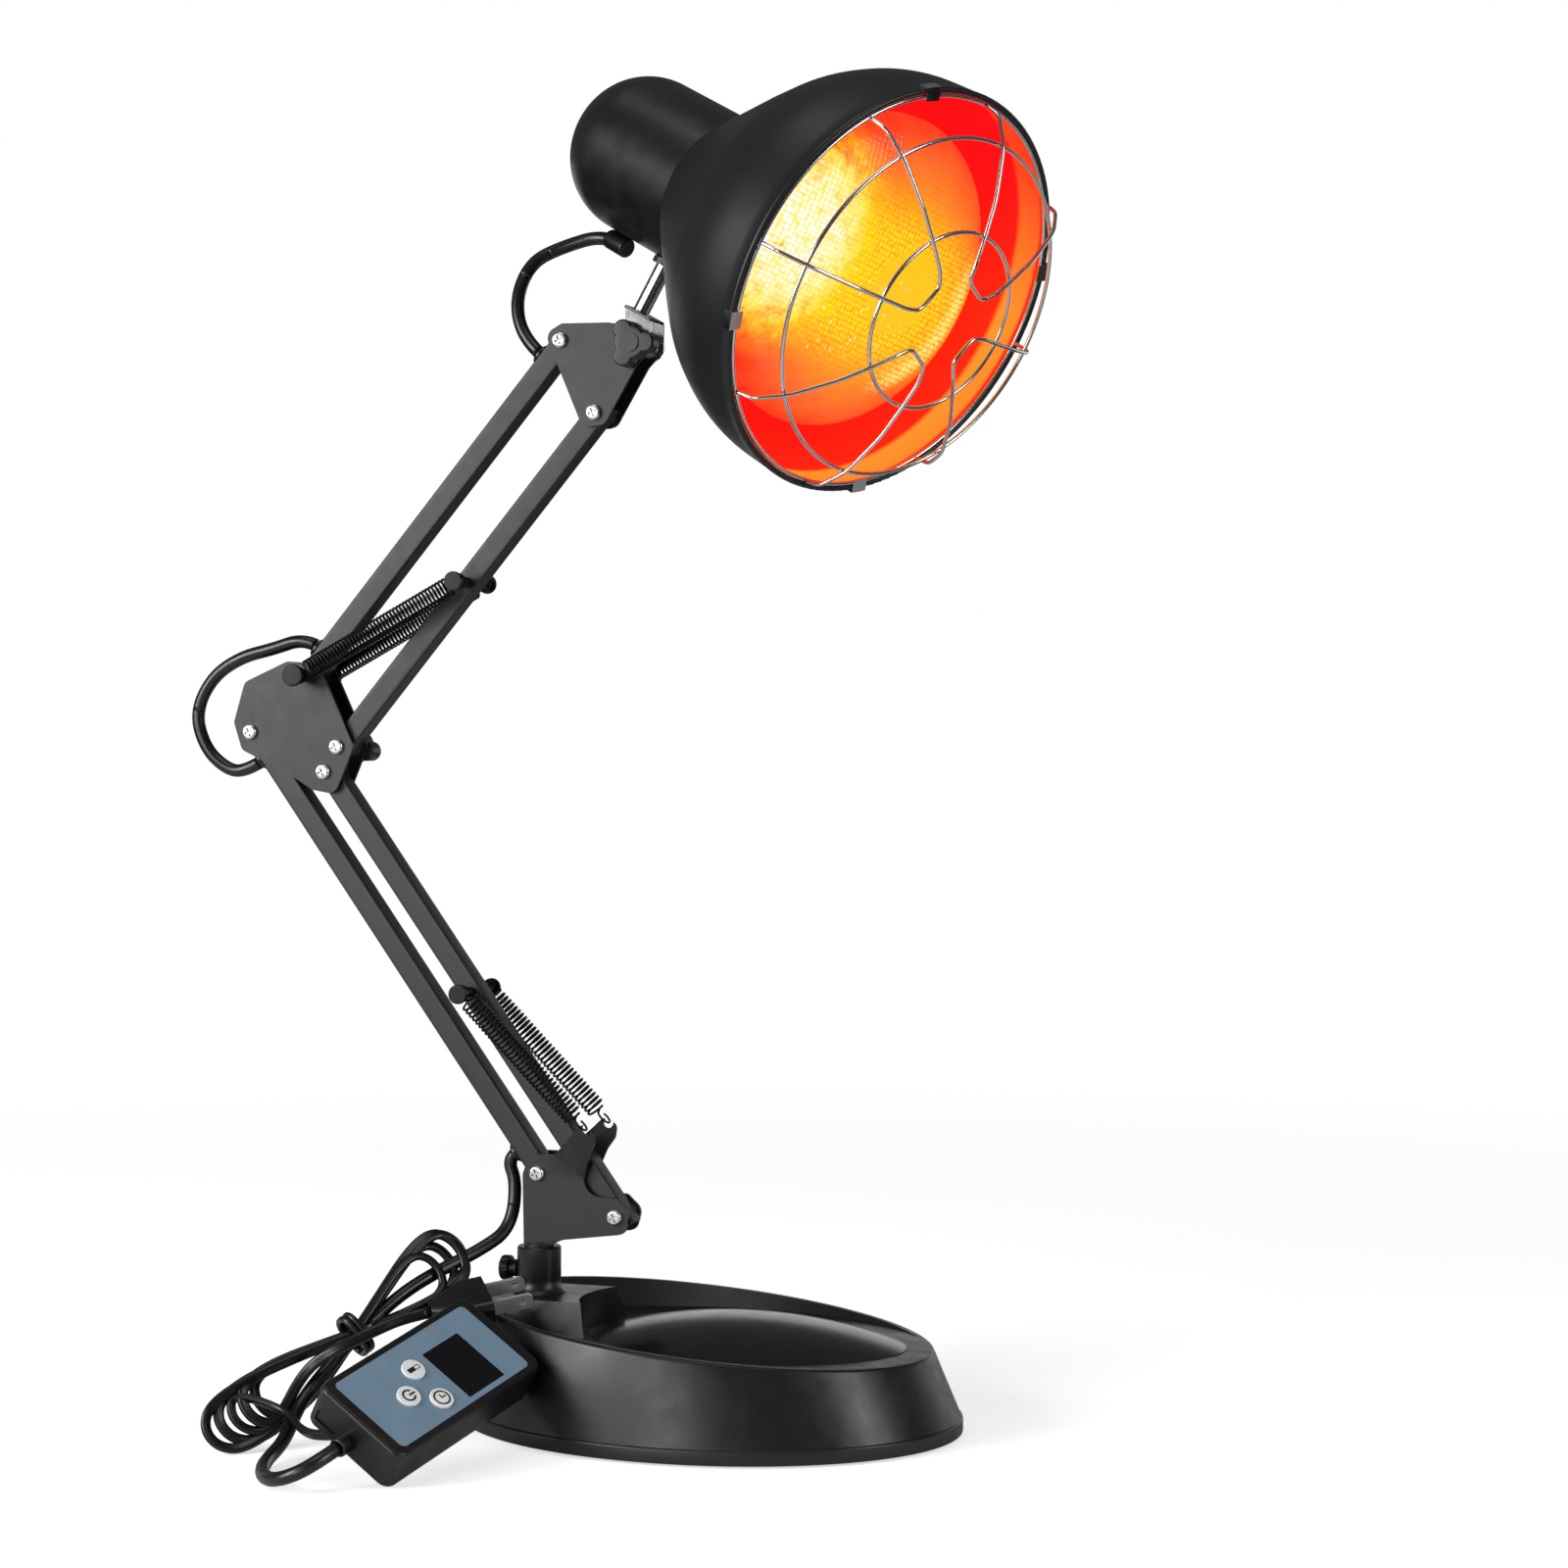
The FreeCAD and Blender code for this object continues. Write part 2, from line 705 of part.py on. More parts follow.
def washerPair(point, shank=pivotShank):
    near = ring(flat(point, -tubeSide / 2 - seatGap - washerThick), yDirection, washerRadius,
                shank + seatGap, washerThick)
    far = ring(flat(point, tubeSide / 2 + seatGap), yDirection, washerRadius, shank + seatGap, washerThick)
    return [near, far]


def drilled(shape, points, radius):
    for point in points:
        shape = shape.cut(cylinder(flat(point, -throughReach), yDirection, radius, 2 * throughReach))
    return shape


# Arm tubes
def armTube(low, high, roundLow, roundHigh):
    """Square tube between two pivots, each end square past the pivot or rounded about it."""
    half = tubeSide / 2
    length = math.dist(low, high)
    startX = 0.0 if roundLow else -tubePast
    endX = length if roundHigh else length + tubePast

    def section(side, edge):
        points = [Vector(startX - half, -side, -side), Vector(startX - half, side, -side),
                  Vector(startX - half, side, side), Vector(startX - half, -side, side)]
        wire = closedPath(points, [edge] * 4)
        return Part.Face(wire).extrude(Vector(endX - startX + tubeSide, 0, 0))

    solid = section(half, tubeRound).cut(section(half - tubeWall, tubeRound / 2))
    window = Part.makeBox(endX - startX, tubeSide, tubeSide, Vector(startX, -half, -half))
    for flag, x in ((roundLow, startX), (roundHigh, endX)):
        if flag:
            window = window.fuse(cylinder(Vector(x, -half, 0), yDirection, half, tubeSide))
    solid = solid.common(window)
    for x in (0, length):
        solid = solid.cut(cylinder(Vector(x, -tubeSide, 0), yDirection, pivotShank + runFit, 2 * tubeSide))
    direction = flat(high) - flat(low)
    return framed(solid, flat(low), direction, yDirection.cross(direction) * -1)


def tubeFacePoint(low, high, distance, out):
    """A point off the rear side of a tube's axis, and the way it faces."""
    direction = (flat(high) - flat(low)).normalize()
    outward = Vector(-direction.z, 0, direction.x)
    return flat(low) + direction * distance + outward * out, outward


def tubeHole(shape, low, high, distance):
    point, outward = tubeFacePoint(low, high, distance, 0)
    return shape.cut(cylinder(point, outward, cordRadius + bodyGap, tubeSide))


def grommet(low, high, distance):
    point, outward = tubeFacePoint(low, high, distance, tubeSide / 2 + seatGap)
    body = ring(point, outward, grommetRadius, cordRadius + seatGap, grommetProud)
    edges = [e for e in body.Edges if e.Closed and abs(e.Curve.Radius - grommetRadius) < 0.01
             and (e.CenterOfMass - point).dot(outward) > seatGap]
    return body.makeFillet(grommetProud * 0.6, edges)


def insideCord(low, high, first, last):
    """The cord's run inside a tube, in through one grommet and out through the other."""
    start, outward = tubeFacePoint(low, high, first, tubeSide / 2 + grommetProud)
    end = tubeFacePoint(low, high, last, tubeSide / 2 + grommetProud)[0]
    inset = outward * -(tubeSide / 2 + grommetProud)
    spots = [start, start + inset, end + inset, end]
    bend = cordRadius * 1.25
    return swept(openPath(spots, [0, bend, bend, 0]), cordRadius)


def pegSolid(point, radius, headRadius, reach, headThick):
    """A cross pin with a head at each end and a groove for the spring loops."""
    pin = cylinder(flat(point, -reach), yDirection, radius, 2 * reach)
    for side in (-reach, reach - headThick):
        pin = pin.fuse(cylinder(flat(point, side), yDirection, headRadius, headThick))
    edges = [e for e in pin.Edges if e.Closed and abs(abs(e.CenterOfMass.y) - reach) < 0.01]
    return pin.makeFillet(pegRound, edges)


def springPair(lowEnd, pegEnd, hooked):
    """Two close-wound springs, each a hollow coil body with a loop at either end."""
    start, end = flat(lowEnd), flat(pegEnd)
    direction = (end - start).normalize()
    across = yDirection.cross(direction)
    reach = springLoop + springNeck
    shift = springLoop if hooked else 0.0
    lowLoopAxis = across if hooked else yDirection
    low = start + direction * (reach + shift)
    high = end - direction * reach
    body = ring(low, direction, springOuter, springInner, (high - low).Length)
    loops = [
        Part.makeTorus(springLoop, springWire / 2, start + direction * shift, lowLoopAxis),
        Part.makeTorus(springLoop, springWire / 2, end, yDirection),
        cylinder(low, direction, springOuter, springWire),
        cylinder(high - direction * springWire, direction, springOuter, springWire),
        cylinder(low - direction * springNeck, direction, springWire / 2, springNeck + springWire / 2),
        cylinder(high - direction * springWire / 2, direction, springWire / 2, springNeck + springWire / 2),
    ]
    solid = body.fuse(loops).removeSplitter()
    return [moved(solid, Vector(0, side * springSide, 0)) for side in (-1, 1)]


# Lower bracket
def lowerBracket():
    """One folded sheet: two cheeks, a rear web, outward hook tabs and the post with its block."""
    cheek = plate(lowerPlate, -plateOuter, plateThick)
    left = lowerPlate[0][0]
    bottom = lowerPlate[0][1]
    web = Part.makeBox(plateThick, 2 * plateOuter, webTop - bottom, Vector(left, -plateOuter, bottom))
    tab = plate(hookPlate, -plateOuter, plateThick)
    bendAxis = flat(hookBendEnd) - flat(hookBendStart)
    tab = rotated(tab, flat(hookBendStart, -plateOuter), bendAxis, hookBend)
    eye = cylinder(flat(hookCentre, -3 * plateOuter), yDirection, hookHole, 6 * plateOuter)
    near = cheek.fuse(tab)
    far = near.mirror(Vector(0, 0, 0), yDirection)
    blockX = left + plateThick
    block = Part.makeBox(2 * postBlockHalf, 2 * plateInner, postBlockHigh - bottom,
                         Vector(blockX, -plateInner, bottom))
    post = cylinder(Vector(0, 0, postLow), zDirection, postRadius, bottom - postLow + 1)
    footEdges = [e for e in post.Edges if e.Closed and e.CenterOfMass.z < postLow + 0.1]
    post = post.makeChamfer(postChamfer, footEdges)
    sheet = near.fuse([far, web, block, post]).cut(eye)
    sheet = drilled(sheet, (lowerRearLow, lowerFrontLow), pivotShank + seatGap)
    return sheet.removeSplitter()


def bracketFasteners(points, nuts, seat, flush=()):
    """Screws, washers and cap nuts of one bracket; a flush screw ends in the far cheek."""
    pieces = []
    for point in points:
        pieces.append(panScrew(point, seat if point in flush else seat + nutHigh * 0.6, seat))
        pieces += washerPair(point)
    for point in nuts:
        pieces.append(capNut(point, seat))
    return pieces


def elbowCheek(side):
    y = -plateOuter if side < 0 else plateInner
    return drilled(plate(carried(elbowPlate, elbowDrawnAt, lowerRearHigh), y, plateThick),
                   (lowerRearHigh, lowerFrontHigh, upperFrontLow), pivotShank + seatGap)


def elbowPinBore(shape):
    return drilled(shape, (upperRearLow,), pinRadius + seatGap)


def headCheek(side):
    y = -plateOuter if side < 0 else plateInner
    sheet = plate(carried(headPlate, headDrawnAt, upperRearHigh), y, plateThick)
    cheek = drilled(sheet, (upperRearHigh, upperFrontHigh), pivotShank + seatGap)
    return drilled(cheek, (tiltPivot,), boltRadius + seatGap)


def triKnob(point, side, seat, bore, turn):
    """Tri-lobe knob on a cross pin, made along z with its cap outward."""
    hub = cylinder(Vector(0, 0, 0), zDirection, lobeHub + 1.2, knobThick)
    for i in range(lobeCount):
        angle = math.radians(360 / lobeCount * i)
        spot = Vector(math.cos(angle), math.sin(angle), 0) * (lobeRadius - lobeTip)
        hub = hub.fuse(cylinder(spot, zDirection, lobeTip, knobThick))
    hub = hub.removeSplitter()
    edges = [e for e in hub.Edges if e.BoundBox.ZLength < 0.01]
    hub = hub.makeFillet(knobEdge, edges)
    cap = cylinder(Vector(0, 0, knobThick - 0.2), zDirection, knobCap, knobCapHigh)
    hub = hub.fuse(cap).cut(cylinder(Vector(0, 0, -1), zDirection, bore, knobThick * 0.7 + 1))
    hub = rotated(hub, Vector(0, 0, 0), zDirection, turn)
    return framed(hub, flat(point, side * seat), xDirection, yDirection * side)


# Tilt yoke and rod
def tiltYoke():
    """U-shaped strap: two legs with eyes on the bolt, a top plate across the rod."""
    def leg(y):
        outline = [
            (rodOffset - yokeBehind, yokePlateHigh, 0.0), (rodOffset + yokeAhead, yokePlateHigh, 0.0),
            (yokeEye + 0.4, 1.6, 4.0), (yokeEye - 1.0, -yokeEye, 4.2), (-yokeEye + 1.0, -yokeEye, 4.2),
            (-yokeEye - 1.6, 2.4, 4.0),
        ]
        points = [flat(tiltPivot, y) + rodAhead * f + rodDirection * w for f, w, r in outline]
        return Part.Face(closedPath(points, [r for f, w, r in outline])).extrude(Vector(0, yokeThick, 0))

    back, front = rodOffset - yokeBehind, rodOffset + yokeAhead
    corners = [(back, -yokeHalf), (front, -yokeHalf), (front, yokeHalf), (back, yokeHalf)]
    top = [flat(tiltPivot) + rodAhead * f + yDirection * y + rodDirection * (yokePlateHigh - yokeThick)
           for f, y in corners]
    cap = Part.Face(closedPath(top, [0] * 4)).extrude(rodDirection * yokeThick)
    strap = cap.fuse([leg(-yokeHalf), leg(yokeHalf - yokeThick)]).removeSplitter()
    edges = [e for e in strap.Edges
             if abs(abs(e.CenterOfMass.y) - yokeHalf) < 0.01 and e.BoundBox.YLength < 0.01
             and (e.CenterOfMass - flat(tiltPivot)).dot(rodDirection) > yokePlateHigh - 0.1]
    strap = strap.makeFillet(yokeRound, edges)
    return drilled(strap, (tiltPivot,), boltRadius + runFit)


def swivelRod():
    start = rodFoot + rodDirection * (yokePlateHigh + seatGap)
    length = headHigh - housingRadius + rodInHousing - yokePlateHigh
    outer = cylinder(start, rodDirection, rodRadius, length)
    return outer.cut(cylinder(start, rodDirection, rodBore, length))


def tiltBolt():
    """Bolt with a round head on the far side, its spacer between the cheeks."""
    seat = yokeHalf + seatGap * 2
    inKnob = knobThick * 0.6
    bolt = cylinder(flat(tiltPivot, -seat - inKnob), yDirection, boltRadius, 2 * seat + inKnob)
    turns = [math.radians(60 * i) for i in range(6)]
    hexagon = [flat(tiltPivot, seat) + Vector(math.cos(a), 0, math.sin(a)) * boltHead for a in turns]
    head = Part.Face(closedPath(hexagon, [0] * 6)).extrude(yDirection * boltHeadHigh)
    between = plateInner - seatGap
    sleeve = ring(flat(tiltPivot, -between), yDirection, boltRadius + sleeveWall, boltRadius + seatGap,
                  2 * between)
    return [bolt.fuse(head).removeSplitter(), sleeve]


# Head
def profileSolid(rows, wall):
    """A turned shell from rows of (behind the rim, radius, round), wall measured inward."""
    outer = [Vector(r, 0, -d) for d, r, b in rows]
    inner = []
    for i, spot in enumerate(outer):
        before = outer[max(i - 1, 0)]
        after = outer[min(i + 1, len(outer) - 1)]
        tangent = (after - before).normalize()
        inner.append(spot + Vector(tangent.z, 0, -tangent.x) * wall)
    radii = [b for d, r, b in rows]
    inside = [max(b - wall, 0.0) if b else 0.0 for b in radii]
    points = outer + inner[::-1]
    return turned(points, radii + inside[::-1])


def shadeSolid():
    shell = profileSolid(shadeProfile, shadeWall)
    lip = Part.makeTorus(lipRing, lipRadius, Vector(0, 0, 0), zDirection)
    return inHead(shell.fuse(lip))


def housingOutline(radius, front, back, curve):
    outline = [Vector(0, 0, -front), Vector(radius, 0, -front), Vector(radius, 0, -back), Vector(0, 0, -back)]
    return turned(outline, [0, 0, curve, 0])


def housingSolids():
    """Housing cut flat below and the cover that closes it, both hollow."""
    outer = housingOutline(housingRadius, housingFront, housingBack, housingCurve)
    inner = housingOutline(housingRadius - housingWall, housingFront + housingWall, housingBack - housingWall,
                           housingCurve - housingWall)
    mouth = cylinder(Vector(0, 0, -housingFront - housingWall - 1), zDirection, holderRadius, 3 * housingWall)
    shell = outer.cut(inner).cut(mouth)
    span = 4 * housingRadius
    under = Part.makeBox(span, span, span * 2, Vector(-span / 2, -seamBelow - span, -span * 1.5))
    upper = shell.cut(under)
    cover = shell.common(moved(under, Vector(0, -seatGap, 0)))
    ledgeFoot = Vector(-span / 2, -seamBelow - seatGap - housingWall, -span * 1.5)
    ledge = outer.common(Part.makeBox(span, housingWall, span * 2, ledgeFoot))
    windowHalf = housingRadius * 0.48
    window = Part.makeBox(2 * windowHalf, span, housingBack - housingFront - 5 * housingWall,
                          Vector(-windowHalf, -span / 2, -housingBack + 3 * housingWall))
    cover = cover.fuse(ledge.cut(window)).removeSplitter()
    rodHole = cylinder(rodFoot, rodDirection, rodRadius + bodyGap, headHigh)
    return inHead(upper), inHead(cover).cut(rodHole)


def rodBushing():
    """Flanged bush in the lower cover, the rod turns in it."""
    under = headHigh - housingRadius
    flangeFoot = rodFoot + rodDirection * (under - bushingHigh)
    collarFoot = rodFoot + rodDirection * (under - seatGap)
    flange = cylinder(flangeFoot, rodDirection, bushingRadius, bushingHigh)
    collar = cylinder(collarFoot, rodDirection, rodRadius + bodyGap - seatGap, housingWall)
    bore = cylinder(rodFoot, rodDirection, rodRadius + runFit, headHigh)
    return flange.fuse(collar).cut(bore)


def glandSpot(behind):
    """A point of the gland's bore, in the head's own frame."""
    return Vector(0, -housingRadius - glandDrop, -behind)


def loopEnd():
    """The last straight run of the head's cord, from behind the gland into its bore."""
    return [rimCentre + headSideways * spot.x + rodDirection * spot.y + headAxis * spot.z
            for spot in (glandSpot(glandBehind + headLoopRun), glandSpot(glandBehind + seatGap))]


def cordGland():
    """Barrel under the housing with the cord's bore along the head's axis."""
    centre = glandSpot(glandBehind + glandLong / 2)
    barrel = cylinder(centre, zDirection, glandRadius, glandLong)
    barrel = barrel.makeFillet(glandRound, [e for e in barrel.Edges if e.Closed])
    keepOut = housingOutline(housingRadius + seatGap, housingFront, housingBack, housingCurve)
    bore = cylinder(centre - zDirection, zDirection, cordRadius + seatGap, glandLong * 0.6)
    return inHead(barrel.cut(keepOut).cut(bore))


def lampholder():
    body = cylinder(Vector(0, 0, -holderBack), zDirection, holderRadius - seatGap, holderBack - holderFront)
    edges = [e for e in body.Edges if e.Closed and abs(e.CenterOfMass.z + holderBack) < 0.1]
    body = body.makeFillet(holderRound, edges)
    bore = cylinder(Vector(0, 0, -holderBack + holderFloor), zDirection, holderBore, holderBack)
    for i in range(holderGrooves):
        foot = Vector(0, 0, -holderFront - holderGrooveFrom - holderGrooveStep * i)
        groove = ring(foot, zDirection, holderRadius + 1, holderRadius - holderGrooveDeep, holderGrooveWide)
        body = body.cut(groove)
    tab = cylinder(Vector(0, 0, -holderBack - tabHigh), zDirection, tabRadius, 2 * tabHigh)
    return inHead(body.cut(bore).fuse(tab))


def bulbCap():
    """Screw cap with rolled threads and a centre contact."""
    pitch = (capBack - capFront - 2 * capPlain) / capThreads
    points = [Vector(0, 0, -capFront), Vector(capRadius, 0, -capFront)]
    radii = [0, 0]
    for i in range(capThreads):
        z = -capFront - capPlain - pitch * i
        points += [Vector(capRadius, 0, z), Vector(capRadius - capThreadDeep, 0, z - pitch / 2)]
        radii += [0.5, 0.5]
    points += [Vector(capRadius - capThreadDeep, 0, -capBack), Vector(capTip, 0, -capBack - capTipHigh),
               Vector(0, 0, -capBack - capTipHigh)]
    radii += [1.0, 1.0, 0]
    return inHead(turned(points, radii))


def bulbGlass():
    outer = [Vector(r, 0, -d) for d, r, b in bulbProfile]
    wall = []
    for i, spot in enumerate(outer):
        before = outer[max(i - 1, 0)]
        after = outer[min(i + 1, len(outer) - 1)]
        tangent = (after - before).normalize()
        wall.append(spot + Vector(tangent.z, 0, -tangent.x) * bulbWall)
    wall[0] = outer[0] - zDirection * bulbWall
    wall[-1] = Vector(outer[-1].x - bulbWall, 0, outer[-1].z)
    radii = [b for d, r, b in bulbProfile]
    inside = [max(b - bulbWall, 0.0) if b else 0.0 for b in radii]
    shell = turned(outer + wall[::-1], radii + inside[::-1])
    neck = cylinder(Vector(0, 0, -capBack), zDirection, capRadius + seatGap, capBack - capFront)
    return inHead(shell.cut(neck))


# Guard
def guardRing(radius, out):
    return inHead(Part.makeTorus(radius, guardWire, Vector(0, 0, out), zDirection))


def petal(turn):
    """One hairpin: two legs up over the dome joined by a tight curl near its middle."""
    def leg(side):
        angle = math.radians(turn + side * petalSpread)
        return [Vector(r * math.cos(angle), r * math.sin(angle), out) for r, out, b in petalLegs]

    middle = Vector(math.cos(math.radians(turn)), math.sin(math.radians(turn)), 0)
    curl = middle * petalCurl + Vector(0, 0, petalFlat)
    rise = [b for r, out, b in petalLegs]
    left, right = leg(-1), leg(1)
    flatLeft = Vector(left[-1].x, left[-1].y, 0).normalize() * petalFlatFrom
    flatRight = Vector(right[-1].x, right[-1].y, 0).normalize() * petalFlatFrom
    sideways = (flatRight - flatLeft).normalize()
    half = (flatRight - flatLeft).Length / 2
    inner = half * petalInner
    spots = left + [flatLeft + zDirection * petalFlat, curl - sideways * inner, curl + sideways * inner,
                    flatRight + zDirection * petalFlat] + right[::-1]
    bend = half * 0.5
    radii = rise + [petalShoulder, bend, bend, petalShoulder] + rise[::-1]
    return inHead(swept(openPath(spots, radii), guardWire))


def guardClip(turn):
    """Short angle clip that holds the rim ring to the shade's lip."""
    low = lipRadius + seatGap
    outside = lipRing + lipRadius + seatGap
    inside = rimRing - clipReach
    spots = [(inside, low), (outside, low), (outside, -2 * lipRadius), (outside + clipThick, -2 * lipRadius),
             (outside + clipThick, low + clipThick), (inside, low + clipThick)]
    outline = closedPath([Vector(x, 0, z) for x, z in spots], [0] * 6)
    clip = Part.Face(outline).revolve(Vector(0, 0, 0), zDirection, clipSpan)
    return inHead(rotated(clip, Vector(0, 0, 0), zDirection, turn - clipSpan / 2))


# Resting cords
def hankSolid():
    """The bundled supply cord as one outer shape, waisted where it is tied."""
    low, waist, high = [vec(p) for p in hankAxis]
    first = (waist - low).Length
    total = first + (high - waist).Length
    direction = (high - low).normalize()
    across = direction.cross(vec(hankFace)).normalize()
    through = across.cross(direction)
    wires = []
    for part, wide, thick in hankWidths:
        run = part * total
        if run < first:
            spot = low + (waist - low) * (run / first)
        else:
            spot = waist + (high - waist) * ((run - first) / (total - first))
        points = [spot + across * (wide / 2 * i) + through * (thick / 2 * j)
                  for i, j in ((1, 1), (-1, 1), (-1, -1), (1, -1))]
        wires.append(closedPath(points, [thick * 0.48] * 4))
    return Part.makeLoft(wires, True, False), waist, direction, across, through


def cordTie(waist, direction, across, through):
    """Two turns of wire tie round the waist with a short twisted tail."""
    wide = tieWide / 2
    thick = tieThick / 2
    loops = []
    for step in (-1, 1):
        centre = waist + direction * (step * (tieRadius + seatGap / 2))
        points = [centre + across * (wide * i) + through * (thick * j)
                  for i, j in ((1, 1), (-1, 1), (-1, -1), (1, -1))]
        loops.append(swept(closedPath(points, [thick * 0.8] * 4), tieRadius))
    start = waist + through * (thick + tieRadius) + across * 2
    tail = [start, start + through * 6 + direction * 2, start + through * 8 + direction * 9]
    loops.append(swept(openPath(tail, [0, 3, 0]), tieRadius * 0.8))
    return loops


# Plug
def inPlug(shape):
    return framed(shape, vec(plugTip), vec(plugAcross), vec(plugPoint))


def plugBody():
    """Flat moulded body that narrows towards its cord, with a grip ridge on each face."""
    def outline(wide, thick, z):
        points = [Vector(i * wide / 2, j * thick / 2, z) for i, j in ((1, 1), (-1, 1), (-1, -1), (1, -1))]
        return closedPath(points, [thick * 0.3] * 4)

    neck = 2 * supplyRadius + 2.4
    body = Part.makeLoft([outline(neck, neck, 0), outline(plugWide * 0.7, plugThick * 0.86, plugLong * 0.34),
                          outline(plugWide, plugThick, plugLong * 0.62)], True, False)
    front = Part.Face(outline(plugWide, plugThick, plugLong * 0.62)).extrude(Vector(0, 0, plugLong * 0.38))
    for x in (-bladeApart / 2, bladeApart / 2):
        foot = Vector(x - bladeThick / 2 - seatGap, -bladeWide / 2 - seatGap, plugLong - bladeRoot)
        front = front.cut(Part.makeBox(bladeThick + 2 * seatGap, bladeWide + 2 * seatGap, plugLong, foot))
    return inPlug(body.fuse(front).removeSplitter())


def plugBlade(x):
    low = plugLong - bladeRoot + seatGap
    blade = Part.makeBox(bladeThick, bladeWide, bladeLong + bladeRoot - seatGap,
                         Vector(x - bladeThick / 2, -bladeWide / 2, low))
    tip = plugLong + bladeLong
    edges = [e for e in blade.Edges if abs(e.CenterOfMass.z - tip) < 0.01 and e.BoundBox.XLength > 1]
    blade = blade.makeChamfer(bladeChamfer, edges)
    hole = cylinder(Vector(x - bladeThick, 0, tip - bladeHoleFrom), xDirection, bladeHole, 3 * bladeThick)
    return inPlug(blade.cut(hole))


# Hand controller
def inCase(shape):
    centre = vec(caseTop) - vec(caseAlong).normalize() * (caseLong / 2)
    return framed(shape, centre, vec(caseAlong), vec(caseUp))


def caseLower():
    """Tray with a wall all round, a cord gland and a small recess on its short side."""
    outer = roundedBlock(caseLong, caseWide, -caseThick, -caseSeam - seatGap, caseCorner)
    edges = [e for e in outer.Edges if abs(e.CenterOfMass.z + caseThick) < 0.01]
    outer = outer.makeFillet(caseEdge * 1.4, edges)
    inner = roundedBlock(caseLong - 2 * caseWall, caseWide - 2 * caseWall, -caseThick + caseWall, 0,
                         caseCorner - caseWall)
    end = -caseLong / 2
    gland = cylinder(Vector(end - caseGlandLong, caseGlandAt, -caseGlandDeep), xDirection, caseGlandRadius,
                     caseGlandLong + caseWall)
    gland = gland.makeFillet(0.8, [e for e in gland.Edges if e.Closed and e.CenterOfMass.x < end - 1])
    glandEnd = Vector(end - caseGlandLong, caseGlandAt, -caseGlandDeep)
    bore = cylinder(glandEnd, xDirection, cordRadius + seatGap, caseGlandLong * 0.7)
    long, high, deep = recessSize
    recess = Part.makeBox(deep, long, high, Vector(end, recessAt - long / 2, -caseGlandDeep - high / 2))
    spots = [Vector(x * (caseLong / 2 - caseScrewIn), y * (caseWide / 2 - caseScrewIn), -caseThick)
             for x in (-1, 1) for y in (-1, 1)]
    bosses = [cylinder(spot, zDirection, caseScrewBoss, caseThick - caseSeam - seatGap) for spot in spots]
    body = outer.cut(inner).fuse(bosses + [gland])
    for spot in spots:
        body = body.cut(cylinder(spot, zDirection, caseScrewHole, caseScrewDeep))
    return inCase(body.cut(bore).cut(recess).removeSplitter())


def panelCuts(shape, depth):
    """Window and button openings through the cover or the panel."""
    x, y = displayAt
    window = Part.makeBox(displayLong + 2 * seatGap, displayWide + 2 * seatGap, depth,
                          Vector(x - displayLong / 2 - seatGap, y - displayWide / 2 - seatGap, -depth / 2))
    shape = shape.cut(window)
    for _, bx, by in buttonPlaces:
        shape = shape.cut(cylinder(Vector(bx, by, -depth / 2), zDirection, buttonRadius + buttonGap, depth))
    return shape


def caseCover():
    outer = roundedBlock(caseLong, caseWide, -caseSeam, 0, caseCorner)
    edges = [e for e in outer.Edges if abs(e.CenterOfMass.z) < 0.01]
    outer = outer.makeFillet(caseEdge, edges)
    inner = roundedBlock(caseLong - 2 * caseWall, caseWide - 2 * caseWall, -caseThick, -caseWall - 0.4,
                         caseCorner - caseWall)
    recess = roundedBlock(panelLong + 2 * seatGap, panelWide + 2 * seatGap, -panelThick - seatGap, 1,
                          panelCorner)
    return inCase(panelCuts(outer.cut(inner).cut(recess), 4 * caseSeam))


def labelPanel():
    sheet = roundedBlock(panelLong, panelWide, -panelThick, -panelThick + panelThick * 0.9, panelCorner)
    return inCase(panelCuts(sheet, 4 * caseSeam))


def displayWindow():
    x, y = displayAt
    block = Part.makeBox(displayLong, displayWide, displayDeep - 0.1,
                         Vector(x - displayLong / 2, y - displayWide / 2, -displayDeep))
    return inCase(block)


def caseButton(x, y):
    """Round cap with a captive flange under the cover."""
    cap = cylinder(Vector(x, y, -buttonDeep), zDirection, buttonRadius, buttonDeep + buttonProud)
    cap = cap.makeFillet(0.35, [e for e in cap.Edges if e.Closed and e.CenterOfMass.z > 0])
    flange = cylinder(Vector(x, y, -buttonDeep), zDirection, buttonRadius + 0.8, 0.45)
    return inCase(cap.fuse(flange))


def controlBoard():
    """Printed board with the display module and three switches under the buttons."""
    board = roundedBlock(caseLong - 2 * caseWall - boardShorter, caseWide - 2 * caseWall - boardNarrower,
                         -boardDeep - boardThick, -boardDeep, boardCorner)
    x, y = displayAt
    module = Part.makeBox(displayLong - 2, displayWide - 2, boardDeep - displayDeep - seatGap,
                          Vector(x - displayLong / 2 + 1, y - displayWide / 2 + 1, -boardDeep))
    pieces = [module]
    top = buttonDeep + buttonPress + bodyGap
    for _, bx, by in buttonPlaces:
        pieces.append(cylinder(Vector(bx, by, -boardDeep), zDirection, switchRadius, boardDeep - top))
    posts = []
    for px in boardPosts:
        posts.append(cylinder(Vector(px, 0, -caseThick + caseWall), zDirection, boardPostRadius,
                              caseThick - caseWall - boardDeep - boardThick))
    return inCase(board.fuse(pieces + posts).removeSplitter())


# Base pieces
keep("base_cover", [baseCover()])
keep("base_dome", [baseDome()])
keep("base_weight", [baseWeight()])
keep("base_bottom_plate", [baseBand()])
keep("base_feet", baseFeet())
keep("post_socket", [postSocket()])
keep("post_thumbscrew", [thumbScrew()])

